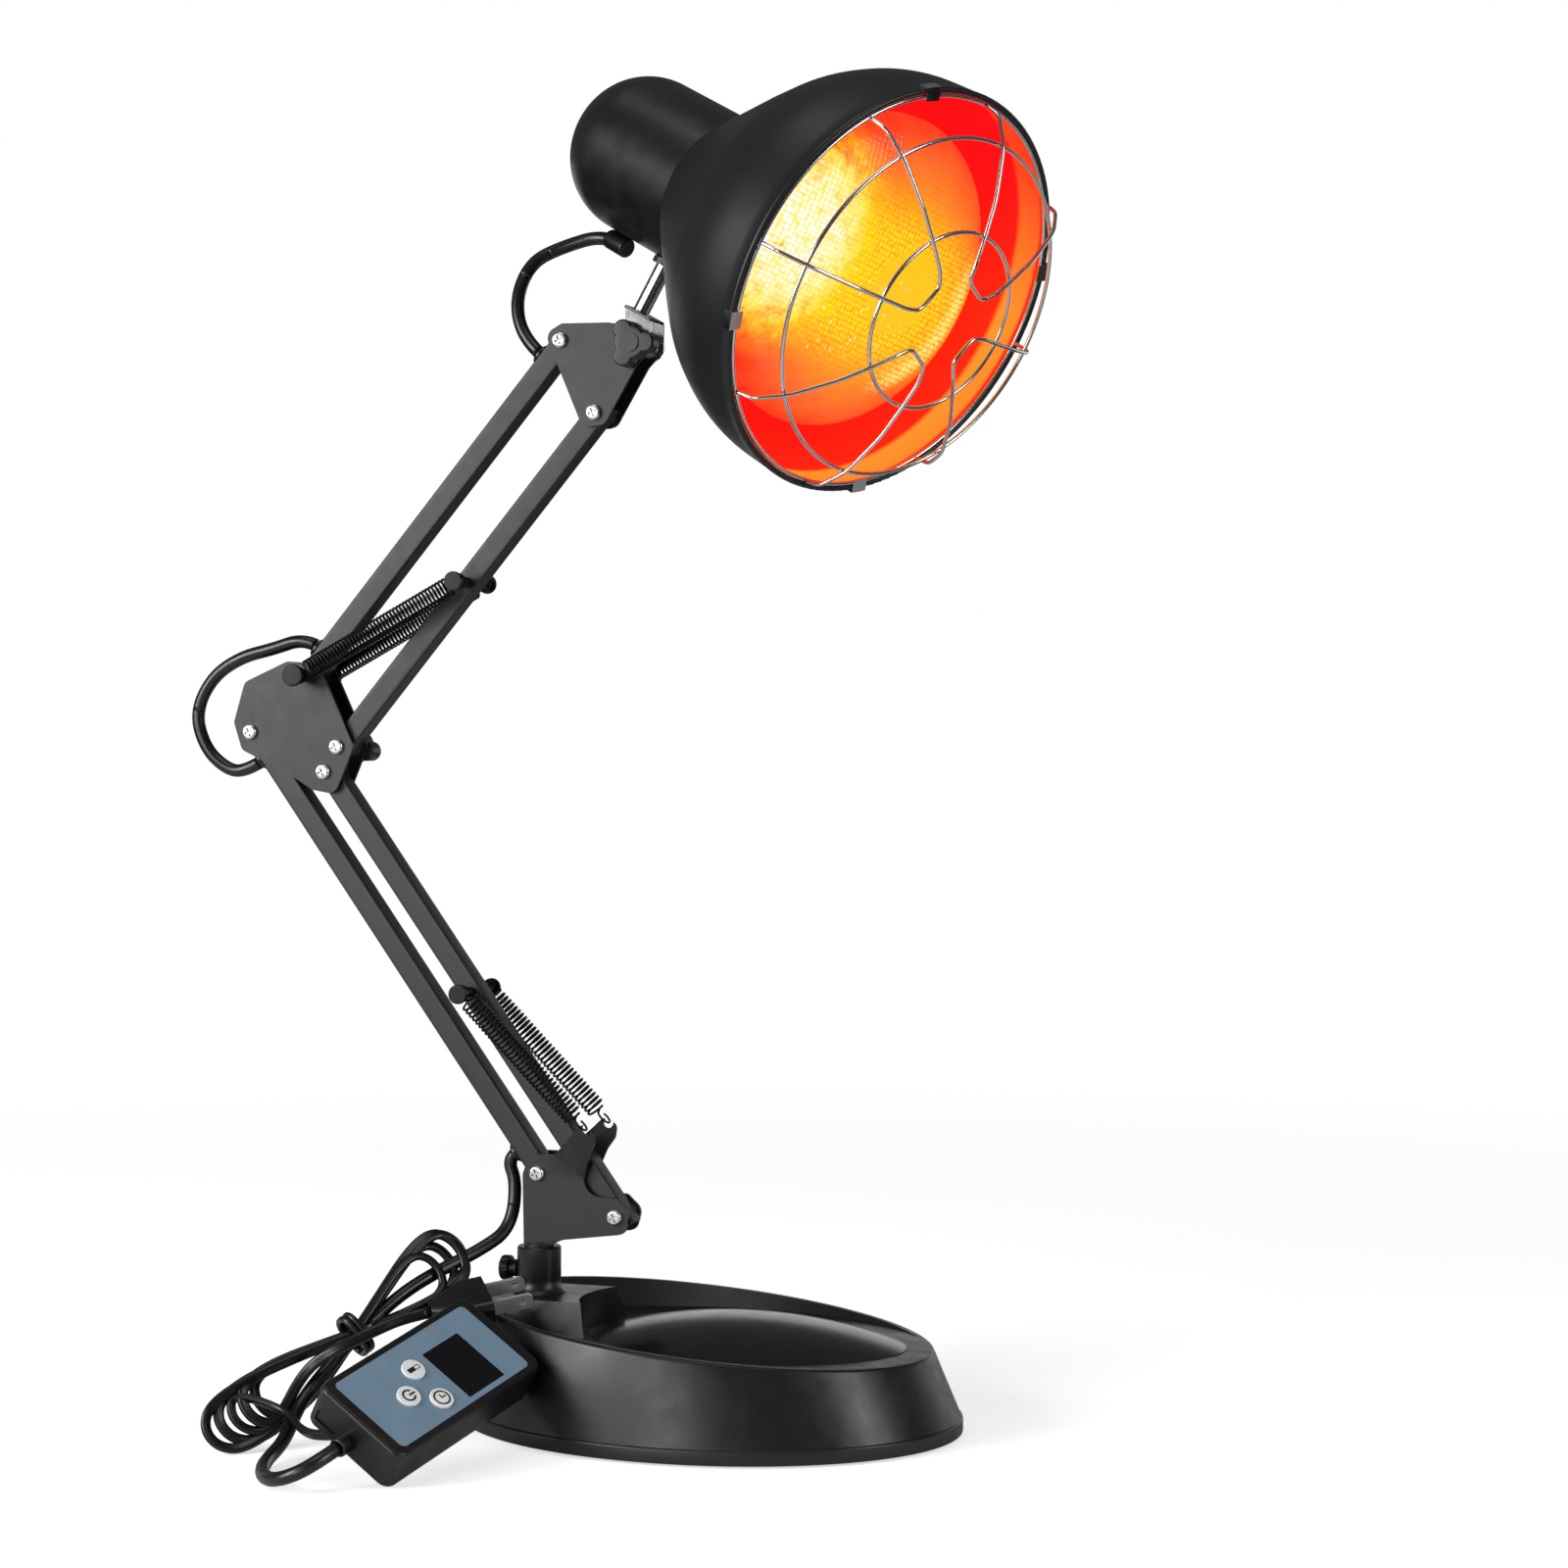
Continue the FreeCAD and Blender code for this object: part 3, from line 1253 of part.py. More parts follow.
# Lower bracket and lower arm
keep("lower_bracket_frame", [lowerBracket()])
keep("lower_bracket_fasteners", bracketFasteners((lowerRearLow, lowerFrontLow), (lowerRearLow, lowerFrontLow),
                                                 plateOuter))
lowerHoles = (grommetAbove, lowerLength - grommetInset)
lowerRear = armTube(lowerRearLow, lowerRearHigh, False, False)
for distance in lowerHoles:
    lowerRear = tubeHole(lowerRear, lowerRearLow, lowerRearHigh, distance)
lowerFront = armTube(lowerFrontLow, lowerFrontHigh, False, True)
keep("lower_rear_tube", [lowerRear])
keep("lower_front_tube", [drilled(lowerFront, (lowerPeg,), pegRadius + seatGap)])
keep("lower_spring_peg", [pegSolid(lowerPeg, pegRadius, pegHead, pegReach, pegHeadThick)])
keep("lower_tube_grommets", [grommet(lowerRearLow, lowerRearHigh, d) for d in lowerHoles])
keep("lower_inner_cord", [insideCord(lowerRearLow, lowerRearHigh, *lowerHoles)])

# Elbow and upper arm
keep("elbow_plates", [elbowPinBore(elbowCheek(side)) for side in (-1, 1)])
elbowPivots = (lowerRearHigh, lowerFrontHigh, upperFrontLow)
keep("elbow_fasteners", bracketFasteners(elbowPivots, (lowerRearHigh,), plateOuter, (lowerFrontHigh,))
     + washerPair(upperRearLow, pinRadius))
keep("elbow_spring_pin", [pegSolid(upperRearLow, pinRadius, pinHead, pinReach, pegHeadThick)])
keep("elbow_knob", [triKnob(upperFrontLow, 1, plateOuter + bodyGap, pivotShank + runFit, elbowKnobTurn)])
upperHoles = (grommetInset, upperLength - grommetInset)
upperRear = armTube(upperRearLow, upperRearHigh, False, False)
for distance in upperHoles:
    upperRear = tubeHole(upperRear, upperRearLow, upperRearHigh, distance)
upperFront = armTube(upperFrontLow, upperFrontHigh, True, False)
keep("upper_rear_tube", [drilled(upperRear, (upperRearLow,), pinRadius + runFit)])
keep("upper_front_tube", [drilled(upperFront, (upperPeg,), pegRadius + seatGap)])
keep("upper_spring_peg", [pegSolid(upperPeg, pegRadius, pegHead, pegReach, pegHeadThick)])
keep("upper_tube_grommets", [grommet(upperRearLow, upperRearHigh, d) for d in upperHoles])
keep("upper_inner_cord", [insideCord(upperRearLow, upperRearHigh, *upperHoles)])

# Springs
keep("lower_springs", springPair(hookCentre, lowerPeg, True))
keep("upper_springs", springPair(upperRearLow, upperPeg, False))

# Head bracket, yoke and rod
keep("head_plates", [headCheek(side) for side in (-1, 1)])
headPivots = (upperRearHigh, upperFrontHigh)
keep("head_fasteners", bracketFasteners(headPivots, headPivots, plateOuter) + tiltBolt())
keep("star_knob", [triKnob(tiltPivot, -1, yokeHalf + bodyGap, boltRadius + runFit, tiltKnobTurn)])
keep("tilt_yoke", [tiltYoke()])
keep("swivel_rod", [swivelRod()])

# Head
upperHousing, lowerCover = housingSolids()
keep("socket_housing", [upperHousing])
keep("housing_lower_cover", [lowerCover])
keep("rod_bushing", [rodBushing()])
keep("cord_gland", [cordGland()])
keep("lampholder", [lampholder()])
keep("bulb_cap", [bulbCap()])
keep("bulb_glass", [bulbGlass()])
keep("shade", [shadeSolid()])
keep("guard_rim_ring", [guardRing(rimRing, rimRingOut)])
keep("guard_rings", [guardRing(midRing, midRingOut), guardRing(innerRing, innerRingOut)])
petalTurns = [petalStart + 360 / petalCount * i for i in range(petalCount)]
keep("guard_petals", [petal(turn) for turn in petalTurns])
keep("guard_clips", [guardClip(turn + 180 / petalCount) for turn in petalTurns])

# Cords
keep("head_loop_cord", [cordShape("head_loop_cord", list(headLoop) + loopEnd(), cordRadius)])
keep("elbow_loop_cord", [cordShape("elbow_loop_cord", elbowLoop, cordRadius)])
keep("lamp_lead_top", [cordShape("lamp_lead_top", leadTop, cordRadius)])
hank, waist, hankRun, hankAcross, hankThrough = hankSolid()
keep("lamp_lead", [cordShape("lamp_lead", leadLow, cordRadius).cut(hank)])
keep("cord_hank", [hank])
keep("cord_tie", cordTie(waist, hankRun, hankAcross, hankThrough))
keep("controller_cord", [cordShape("controller_cord", controlLoop, cordRadius).cut(hank)])
keep("plug_cord", [cordShape("plug_cord", plugLead, supplyRadius).cut(hank)])
keep("plug_body", [plugBody()])
keep("plug_blades", [plugBlade(-bladeApart / 2), plugBlade(bladeApart / 2)])

# Hand controller
keep("controller_case", [caseLower()])
keep("controller_cover", [caseCover()])
keep("label_panel", [labelPanel()])
keep("display_window", [displayWindow()])
for name, x, y in buttonPlaces:
    keep(name, [caseButton(x, y)])
keep("control_board", [controlBoard()])
print(len(nodes), "nodes")
for name, shape in nodes.items():
    if not shape.isValid():
        print("not valid:", name)
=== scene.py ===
import json
import math
import bpy
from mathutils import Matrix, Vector


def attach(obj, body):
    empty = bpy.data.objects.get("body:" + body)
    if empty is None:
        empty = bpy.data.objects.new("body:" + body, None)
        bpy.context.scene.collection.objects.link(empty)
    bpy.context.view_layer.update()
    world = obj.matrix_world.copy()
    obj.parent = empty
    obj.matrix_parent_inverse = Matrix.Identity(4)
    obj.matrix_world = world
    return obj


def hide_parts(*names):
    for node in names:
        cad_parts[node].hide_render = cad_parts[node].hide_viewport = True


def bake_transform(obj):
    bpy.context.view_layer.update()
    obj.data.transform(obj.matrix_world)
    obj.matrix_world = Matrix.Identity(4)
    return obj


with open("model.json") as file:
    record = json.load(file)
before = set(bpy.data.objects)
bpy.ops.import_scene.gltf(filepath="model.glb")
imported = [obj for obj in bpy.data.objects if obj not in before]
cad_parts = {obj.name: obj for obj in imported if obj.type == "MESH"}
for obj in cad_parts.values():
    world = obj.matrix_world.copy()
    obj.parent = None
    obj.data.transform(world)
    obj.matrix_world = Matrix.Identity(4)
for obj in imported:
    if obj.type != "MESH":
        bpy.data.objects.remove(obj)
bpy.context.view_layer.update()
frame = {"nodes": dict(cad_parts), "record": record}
nodes = frame["nodes"]
mm = 0.001

# Camera
print("camera")
view = {"place": (0.5224, -1.2456, 0.2935), "lookAt": (0.10833, 0.0, 0.26441), "lens": 73.86, "sensor": 36.0,
        "nearest": 0.05}
cameraData = bpy.data.cameras.new("camera")
cameraData.lens = view["lens"]
cameraData.sensor_width = view["sensor"]
cameraData.clip_start = view["nearest"]
camera = bpy.data.objects.new("camera", cameraData)
camera.location = view["place"]
camera.rotation_euler = (Vector(view["lookAt"]) - Vector(view["place"])).to_track_quat("-Z", "Y").to_euler()
bpy.context.scene.collection.objects.link(camera)
bpy.context.scene.camera = camera


# Mesh and route helpers
def scaled(points):
    return [Vector(p) * mm for p in points]


def addObject(name, data):
    made = bpy.data.objects.new(name, data)
    bpy.context.scene.collection.objects.link(made)
    return made


def meshObject(name, verts, faces, smooth=True):
    data = bpy.data.meshes.new(name)
    data.from_pydata([tuple(v) for v in verts], [], faces)
    data.polygons.foreach_set("use_smooth", [smooth] * len(data.polygons))
    data.update()
    return addObject(name, data)


def routeLine(points, steps=8):  # the smooth line that a cord's listed points give
    data = bpy.data.curves.new("route", "CURVE")
    data.dimensions = "3D"
    data.resolution_u = steps
    spline = data.splines.new("NURBS")
    spline.points.add(len(points) - 1)
    for spot, point in zip(spline.points, points):
        spot.co = (*point, 1.0)
    spline.order_u = 3
    spline.use_endpoint_u = True
    holder = bpy.data.objects.new("route", data)
    mesh = bpy.data.meshes.new_from_object(holder)
    line = [v.co.copy() for v in mesh.vertices]
    bpy.data.objects.remove(holder)
    bpy.data.meshes.remove(mesh)
    return line


def lineLength(line):
    return sum((b - a).length for a, b in zip(line, line[1:]))


def ringsAlong(line, section, side=None):  # the section at each point, carried along without twist
    tangents = []
    for i in range(len(line)):
        ahead = line[min(i + 1, len(line) - 1)] - line[max(i - 1, 0)]
        tangents.append(ahead.normalized())
    across = side if side else Vector((0.0, 0.0, 1.0)).cross(tangents[0])
    if across.length < 1e-6:
        across = Vector((1.0, 0.0, 0.0))
    rings = []
    for point, tangent in zip(line, tangents):
        across = (across - tangent * across.dot(tangent)).normalized()
        up = tangent.cross(across)
        rings.append([point + across * a + up * b for a, b in section])
    return rings


def tubeMesh(name, rings, capped=True):
    count = len(rings[0])
    verts = [v for ring in rings for v in ring]
    faces = []
    for i in range(len(rings) - 1):
        for j in range(count):
            k = (j + 1) % count
            faces.append((i * count + j, i * count + k, (i + 1) * count + k, (i + 1) * count + j))
    if capped:
        faces.append(tuple(range(count))[::-1])
        faces.append(tuple(len(verts) - count + j for j in range(count)))
    return meshObject(name, verts, faces)


def roundSection(radius, sides):
    return [(radius * math.cos(2 * math.pi * i / sides), radius * math.sin(2 * math.pi * i / sides))
            for i in range(sides)]


def twinSection(width, thick, sides=9):  # two cores side by side with a groove between them
    lobe = thick / 2
    apart = width / 2 - lobe
    shown = 112.0  # degrees that each core shows either way from its outer side
    section = []
    for side, first in ((1, -shown), (-1, 180.0 - shown)):
        for i in range(sides):
            angle = math.radians(first + 2 * shown * i / (sides - 1))
            section.append((side * apart + lobe * math.cos(angle), lobe * math.sin(angle)))
    return section


# Materials
nodeGrid = {"wide": 220, "high": 160, "columns": 8}


def linear(text):  # an sRGB hex colour as the linear numbers that a shader takes
    parts = [int(text[i:i + 2], 16) / 255 for i in (1, 3, 5)]
    return (*[p / 12.92 if p <= 0.04045 else ((p + 0.055) / 1.055) ** 2.4 for p in parts], 1.0)


def addNode(tree, kind, values=None):  # settings and inputs by name or number, a socket being linked
    made = tree.nodes.new(kind)
    column, row = len(tree.nodes) % nodeGrid["columns"], len(tree.nodes) // nodeGrid["columns"]
    made.location = (-nodeGrid["wide"] * column, -nodeGrid["high"] * row)
    for name, value in (values or {}).items():
        if isinstance(value, bpy.types.NodeSocket):
            tree.links.new(value, made.inputs[name])
        elif isinstance(name, str) and hasattr(made, name):
            setattr(made, name, value)
        else:
            made.inputs[name].default_value = linear(value) if isinstance(value, str) else value
    return made


def startMaterial(name, look):
    made = bpy.data.materials.new(name)
    made.use_nodes = True
    tree = made.node_tree
    shader = tree.nodes["Principled BSDF"]
    for socket, value in look["shader"].items():
        shader.inputs[socket].default_value = linear(value) if isinstance(value, str) else value
    place = addNode(tree, "ShaderNodeTexCoord")
    return made, tree, shader, place.outputs["Object"]


def perMetre(sizeMm):  # texture scale whose features are that many millimetres across
    return 1000.0 / sizeMm


def addGrain(tree, shader, place, sizeMm, highMm):  # an even relief of a real width and height
    noise = addNode(tree, "ShaderNodeTexNoise", {"Vector": place, "Scale": perMetre(sizeMm), "Detail": 2.0})
    bump = addNode(tree, "ShaderNodeBump", {
        "Height": noise.outputs["Fac"], "Distance": highMm * mm, "Strength": 1.0})
    tree.links.new(bump.outputs["Normal"], shader.inputs["Normal"])


def addMottle(tree, place, sizeMm, low, high):  # a value that drifts between low and high
    noise = addNode(tree, "ShaderNodeTexNoise", {"Vector": place, "Scale": perMetre(sizeMm), "Detail": 4.0})
    spread = addNode(tree, "ShaderNodeMapRange", {
        "Value": noise.outputs["Fac"], "From Min": 0.3, "From Max": 0.7, "To Min": low, "To Max": high})
    return spread.outputs["Result"]


def maskOf(tree, *parts):  # masks and strengths multiplied together and held between nought and one
    mask = parts[0]
    for part in parts[1:]:
        mask = addNode(tree, "ShaderNodeMath", {
            "operation": "MULTIPLY", "use_clamp": True, 0: mask, 1: part}).outputs[0]
    return mask


def painted(tree, colour, coats):  # colours laid one over another, each where its mask says
    for mask, coat in coats:
        colour = addNode(tree, "ShaderNodeMix", {"data_type": "RGBA", 0: mask, 6: colour, 7: coat}).outputs[2]
    return colour


def plainFinish(name, look):  # grain, a mottled gloss and two close colours over one shader
    made, tree, shader, place = startMaterial(name, look)
    if "grain" in look:
        addGrain(tree, shader, place, *look["grain"])
    if "gloss" in look:
        tree.links.new(addMottle(tree, place, *look["gloss"]), shader.inputs["Roughness"])
    if "second" in look:
        sizeMm, coat = look["second"]
        coats = ((addMottle(tree, place, sizeMm, 0.0, 1.0), coat),)
        tree.links.new(painted(tree, look["shader"]["Base Color"], coats), shader.inputs["Base Color"])
    return made


print("materials")
# Spark-eroded ABS: a deep satin black with a fine even grain that spreads each highlight
mouldedAbs = plainFinish("satinBlackAbs", {
    "shader": {"Base Color": "#0d0e0f", "IOR": 1.53, "Roughness": 0.36},
    "grain": (0.5, 0.014), "gloss": (9.0, 0.3, 0.4), "second": (22.0, "#111213")})
# Polished ABS: nearly a mirror, so the dome carries one clean reflection
polishedAbs = plainFinish("polishedBlackAbs", {
    "shader": {"Base Color": "#0c0d0e", "IOR": 1.53, "Roughness": 0.2},
    "grain": (2.4, 0.003), "gloss": (14.0, 0.17, 0.24)})
# Sand-cast iron: dull dark grey with a rough skin
castIron = plainFinish("sandCastIron", {
    "shader": {"Base Color": "#3a3a3c", "Metallic": 1.0, "Roughness": 0.7},
    "grain": (1.6, 0.15), "gloss": (5.0, 0.6, 0.8)})
# Nitrile pads: matt and slightly grey where they are handled
nitrile = plainFinish("nitrileRubber", {
    "shader": {"Base Color": "#1b1b1c", "IOR": 1.52, "Roughness": 0.8},
    "grain": (0.6, 0.03), "second": (4.0, "#242425")})
# Powder-coated sheet and tube: satin black with a fine orange peel that breaks long highlights
powderCoat = plainFinish("powderCoatedSteel", {
    "shader": {"Base Color": "#1a1a1b", "IOR": 1.5, "Roughness": 0.42},
    "grain": (0.9, 0.022), "gloss": (6.0, 0.36, 0.46), "second": (15.0, "#202021")})
# Black oxide on turned pins: dark with a soft metal sheen
blackOxide = plainFinish("blackOxideSteel", {
    "shader": {"Base Color": "#1d1e20", "Metallic": 0.6, "Roughness": 0.42},
    "grain": (0.5, 0.006), "gloss": (2.0, 0.36, 0.5)})
# Nickel-plated screws: bright with faint turning marks
brightNickel = plainFinish("nickelPlatedSteel", {
    "shader": {"Base Color": "#e2e2df", "Metallic": 0.9, "Roughness": 0.24},
    "grain": (1.2, 0.004), "gloss": (1.2, 0.2, 0.3)})
# Chrome plate over drawn wire and strap: a clean mirror with a hint of haze
chromePlate = plainFinish("chromePlatedSteel", {
    "shader": {"Base Color": "#d4d5d8", "Metallic": 1.0, "Roughness": 0.16},
    "gloss": (5.0, 0.13, 0.19), "second": (9.0, "#c9cacd")})
# Oiled spring wire: dark, with sharp small glints on every turn
springSteel = plainFinish("blackenedSpringWire", {
    "shader": {"Base Color": "#2b2b2d", "Metallic": 1.0, "Roughness": 0.32},
    "grain": (0.4, 0.006), "gloss": (2.0, 0.26, 0.42)})
# Extruded PVC: soft black with a long gloss along the cord
cordVinyl = plainFinish("extrudedVinyl", {
    "shader": {"Base Color": "#101011", "IOR": 1.53, "Roughness": 0.3},
    "grain": (1.3, 0.012), "gloss": (7.0, 0.24, 0.36)})
# Glass-filled nylon knobs: satin black, a little coarser than the base
nylonBlack = plainFinish("mouldedNylon", {
    "shader": {"Base Color": "#131415", "IOR": 1.53, "Roughness": 0.38},
    "grain": (0.45, 0.03), "gloss": (4.0, 0.33, 0.46)})
# Pressed brass cap of the bulb
pressedBrass = plainFinish("pressedBrass", {
    "shader": {"Base Color": "#b9924c", "Metallic": 1.0, "Roughness": 0.34},
    "grain": (0.5, 0.01), "gloss": (3.0, 0.28, 0.46)})
# Glazed ceramic lampholder: creamy white with a soft glaze
glazedCeramic = plainFinish("glazedCeramic", {
    "shader": {"Base Color": "#d8d2c4", "IOR": 1.52, "Roughness": 0.25, "Coat Weight": 0.4},
    "grain": (3.0, 0.02), "second": (8.0, "#cfc8b8")})
# Printed polycarbonate sheet: matt grey blue with a fine velvet texture
printedPanel = plainFinish("printedPolycarbonate", {
    "shader": {"Base Color": "#7590a6", "IOR": 1.58, "Roughness": 0.46},
    "grain": (0.3, 0.008), "second": (12.0, "#7c97ac")})
# Smoked acrylic over the digits: near black and glossy
smokedAcrylic = plainFinish("smokedAcrylic", {
    "shader": {"Base Color": "#08090d", "IOR": 1.49, "Roughness": 0.12},
    "grain": (2.0, 0.003), "gloss": (6.0, 0.1, 0.16)})
# White ABS keys: clean satin white
whiteAbs = plainFinish("whiteAbs", {
    "shader": {"Base Color": "#fafbfb", "IOR": 1.53, "Roughness": 0.35},
    "grain": (0.5, 0.01), "second": (4.0, "#f4f5f6")})
# Solder-masked glass epoxy board
maskedBoard = plainFinish("solderMaskedBoard", {
    "shader": {"Base Color": "#1f5a35", "IOR": 1.55, "Roughness": 0.35},
    "grain": (0.8, 0.01), "second": (2.0, "#1a4d2d")})
# Nickel-plated brass blades of the plug
bladeNickel = plainFinish("nickelPlatedBlades", {
    "shader": {"Base Color": "#d9d9d6", "Metallic": 0.75, "Roughness": 0.34},
    "grain": (3.0, 0.003), "gloss": (4.0, 0.3, 0.4)})
# Ink printed on the keys
inkBlack = plainFinish("printedInk", {
    "shader": {"Base Color": "#141416", "Roughness": 0.5}, "grain": (0.3, 0.004)})

# The head's own frame: out of the shade, along the rod, and across
head = {"rim": (167.899, -45.982, 455.561), "axis": (0.80213, -0.39234, -0.45014),
        "up": (0.48938, 0.0, 0.87207), "glandDrop": 37.2, "glandBehind": 147.05, "glandRun": 157.4}
headRim = Vector(head["rim"]) * mm
headAxis = Vector(head["axis"]).normalized()
headUp = Vector(head["up"]).normalized()
headSide = headUp.cross(headAxis).normalized()
headUp = headAxis.cross(headSide)


def inHead(x, y, z):  # a point given in millimetres in the head's frame
    return headRim + (headSide * x + headUp * y + headAxis * z) * mm


def alongHead(tree, vector):  # a vector's parts across, up and along the head
    return [addNode(tree, "ShaderNodeVectorMath", {
        "operation": "DOT_PRODUCT", 0: vector, 1: tuple(direction)}).outputs["Value"]
        for direction in (headSide, headUp, headAxis)]


def headCoordinates(tree, place):  # the same three numbers inside a material, in metres
    offset = addNode(tree, "ShaderNodeVectorMath", {"operation": "SUBTRACT", 0: place, 1: tuple(headRim)})
    return alongHead(tree, offset.outputs["Vector"])


def rampOver(tree, value, low, high, stops):  # colours placed along a range of a value
    spread = addNode(tree, "ShaderNodeMapRange", {"Value": value, "From Min": low, "From Max": high})
    ramp = addNode(tree, "ShaderNodeValToRGB", {"Fac": spread.outputs["Result"]})
    made = ramp.color_ramp.elements
    made[0].position, made[0].color = stops[0][0], linear(stops[0][1])
    made[1].position, made[1].color = stops[-1][0], linear(stops[-1][1])
    for position, colour in stops[1:-1]:
        made.new(position).color = linear(colour)
    return ramp.outputs["Color"]


def distanceFrom(tree, place, centre, stretch):  # how far from a centre, counted in an ellipse
    offset = addNode(tree, "ShaderNodeVectorMath", {"operation": "SUBTRACT", 0: place, 1: centre})
    shaped = addNode(tree, "ShaderNodeVectorMath", {
        "operation": "MULTIPLY", 0: offset.outputs["Vector"], 1: stretch})
    return addNode(tree, "ShaderNodeVectorMath", {
        "operation": "LENGTH", 0: shaped.outputs["Vector"]}).outputs["Value"]


def fadeOver(tree, distance, full, none):  # one at the first distance, nought at the second, soft between
    fade = addNode(tree, "ShaderNodeMapRange", {
        "interpolation_type": "SMOOTHSTEP", "Value": distance, "From Min": none, "From Max": full})
    return fade.outputs["Result"]


def spotMask(tree, place, spot):  # one inside a soft-edged ellipse, nought outside
    centre, stretch, full, none = spot
    return fadeOver(tree, distanceFrom(tree, place, centre, stretch), full, none)


def bulbFinish():
    # Pressed red infrared glass, lit: a stippled lens, white hot on one side, amber across and red at the
    # shoulder. Each spot below has its centre, stretch, and the distances at which it is full and gone.
    look = {
        "shader": {"Base Color": "#3c0803", "IOR": 1.5, "Roughness": 0.2, "Specular IOR Level": 0.3,
                   "Emission Strength": 1.0},
        "edge": 0.066, "past": 0.006, "wander": 0.012,
        "across": ((0.0, "#ffb21c"), (0.45, "#ff9a1a"), (0.68, "#ff7f1e"), (0.82, "#ff6423"),
                   (0.92, "#ff4b22"), (1.0, "#f4301c")),
        "drift": (15.0, 5.0, 0.65), "flicker": (7.0, 6.0, 0.7),  # millimetres across, detail, roughness
        "stippleMm": 2.1, "stippleDeep": 0.0006, "specksMm": 4.6,
        "glow": ((0.0, 0.0, 0.0), (0.6, 1.12, 1.0), 0.016, 0.05),
        "disc": ((0.012, 0.002, 0.0), (1.0, 1.0, 1.0)), "discEdge": (0.0165, 0.0185),
        "crescentAt": 0.037, "crescentSide": (0.94, -0.34, 0.0),
        "hot": ((-0.051, 0.004, 0.0), (0.95, 0.8, 1.0), 0.006, 0.031),
        "halo": ((-0.051, 0.004, 0.0), (0.8, 0.66, 1.0), 0.012, 0.036),
        "specks": ((-0.022, -0.008, 0.0), (0.8, 1.2, 1.0), 0.022, 0.04),
    }
    made, tree, shader, place = startMaterial("litInfraredGlass", look)
    axes = headCoordinates(tree, place)
    flat = addNode(tree, "ShaderNodeCombineXYZ", {0: axes[0], 1: axes[1]}).outputs["Vector"]
    drift, flicker = [addNode(tree, "ShaderNodeTexNoise", {
        "Vector": flat, "Scale": perMetre(sizeMm), "Detail": detail, "Roughness": roughness}).outputs["Fac"]
        for sizeMm, detail, roughness in (look["drift"], look["flicker"])]

    # Pits pressed in the lens, each brightest in its middle
    pits = addNode(tree, "ShaderNodeTexVoronoi", {
        "Vector": flat, "Scale": perMetre(look["stippleMm"]), "Randomness": 0.3}).outputs["Distance"]
    bump = addNode(tree, "ShaderNodeBump", {
        "Height": pits, "Distance": look["stippleDeep"], "Strength": 0.7, "invert": True})
    tree.links.new(bump.outputs["Normal"], shader.inputs["Normal"])
    cells = addNode(tree, "ShaderNodeMapRange", {
        "Value": pits, "From Min": 0.1, "From Max": 0.62, "To Min": 1.0, "To Max": 0.1}).outputs["Result"]

    # Amber in the middle to red at the shoulder, with a wandering edge
    radius = addNode(tree, "ShaderNodeVectorMath", {"operation": "LENGTH", 0: flat}).outputs["Value"]
    swung, uneven, flame, haze = [addNode(tree, "ShaderNodeMath", {
        "operation": "MULTIPLY_ADD", 0: value, 1: strength, 2: shift}).outputs[0]
        for value, strength, shift in (
            (drift, look["wander"], radius), (drift, 1.2, 0.5), (flicker, 4.4, -1.35), (flicker, 5.0, -1.5))]
    warm = rampOver(tree, swung, 0.0, look["edge"] + look["past"], look["across"])

    # The reflector's round mouth, and a bright crescent on one side of it
    fromDisc = distanceFrom(tree, flat, *look["disc"])
    disc = fadeOver(tree, fromDisc, *look["discEdge"])
    beside = addNode(tree, "ShaderNodeMath", {"operation": "SUBTRACT", 0: fromDisc, 1: look["crescentAt"]})
    offRing = addNode(tree, "ShaderNodeMath", {"operation": "ABSOLUTE", 0: beside.outputs[0]}).outputs[0]
    side = addNode(tree, "ShaderNodeVectorMath", {
        "operation": "DOT_PRODUCT", 0: flat, 1: look["crescentSide"]}).outputs["Value"]
    specks = addNode(tree, "ShaderNodeTexVoronoi", {
        "Vector": flat, "Scale": perMetre(look["specksMm"]), "Randomness": 1.0}).outputs["Distance"]
    ring, facing, dots = [addNode(tree, "ShaderNodeMapRange", {
        "Value": value, "From Min": low, "From Max": high}).outputs["Result"]
        for value, low, high in ((offRing, 0.0075, 0.001), (side, 0.03, 0.044), (specks, 0.17, 0.07))]
    hot = maskOf(tree, spotMask(tree, flat, look["hot"]), flame)
    tree.links.new(painted(tree, warm, (
        (maskOf(tree, spotMask(tree, flat, look["glow"]), uneven, cells, 1.15), "#ffe818"),
        (maskOf(tree, disc, 0.8), "#ffc81e"),
        (maskOf(tree, ring, facing, cells, 1.6), "#fff47c"),
        (maskOf(tree, spotMask(tree, flat, look["halo"]), haze), "#ffe714"),
        (maskOf(tree, hot, 1.7), "#fff03a"),
        (maskOf(tree, hot, cells, 1.9), "#fffdf2"),
        (maskOf(tree, dots, spotMask(tree, flat, look["specks"])), "#fff6b8"),
    )), shader.inputs["Emission Color"])
    return made


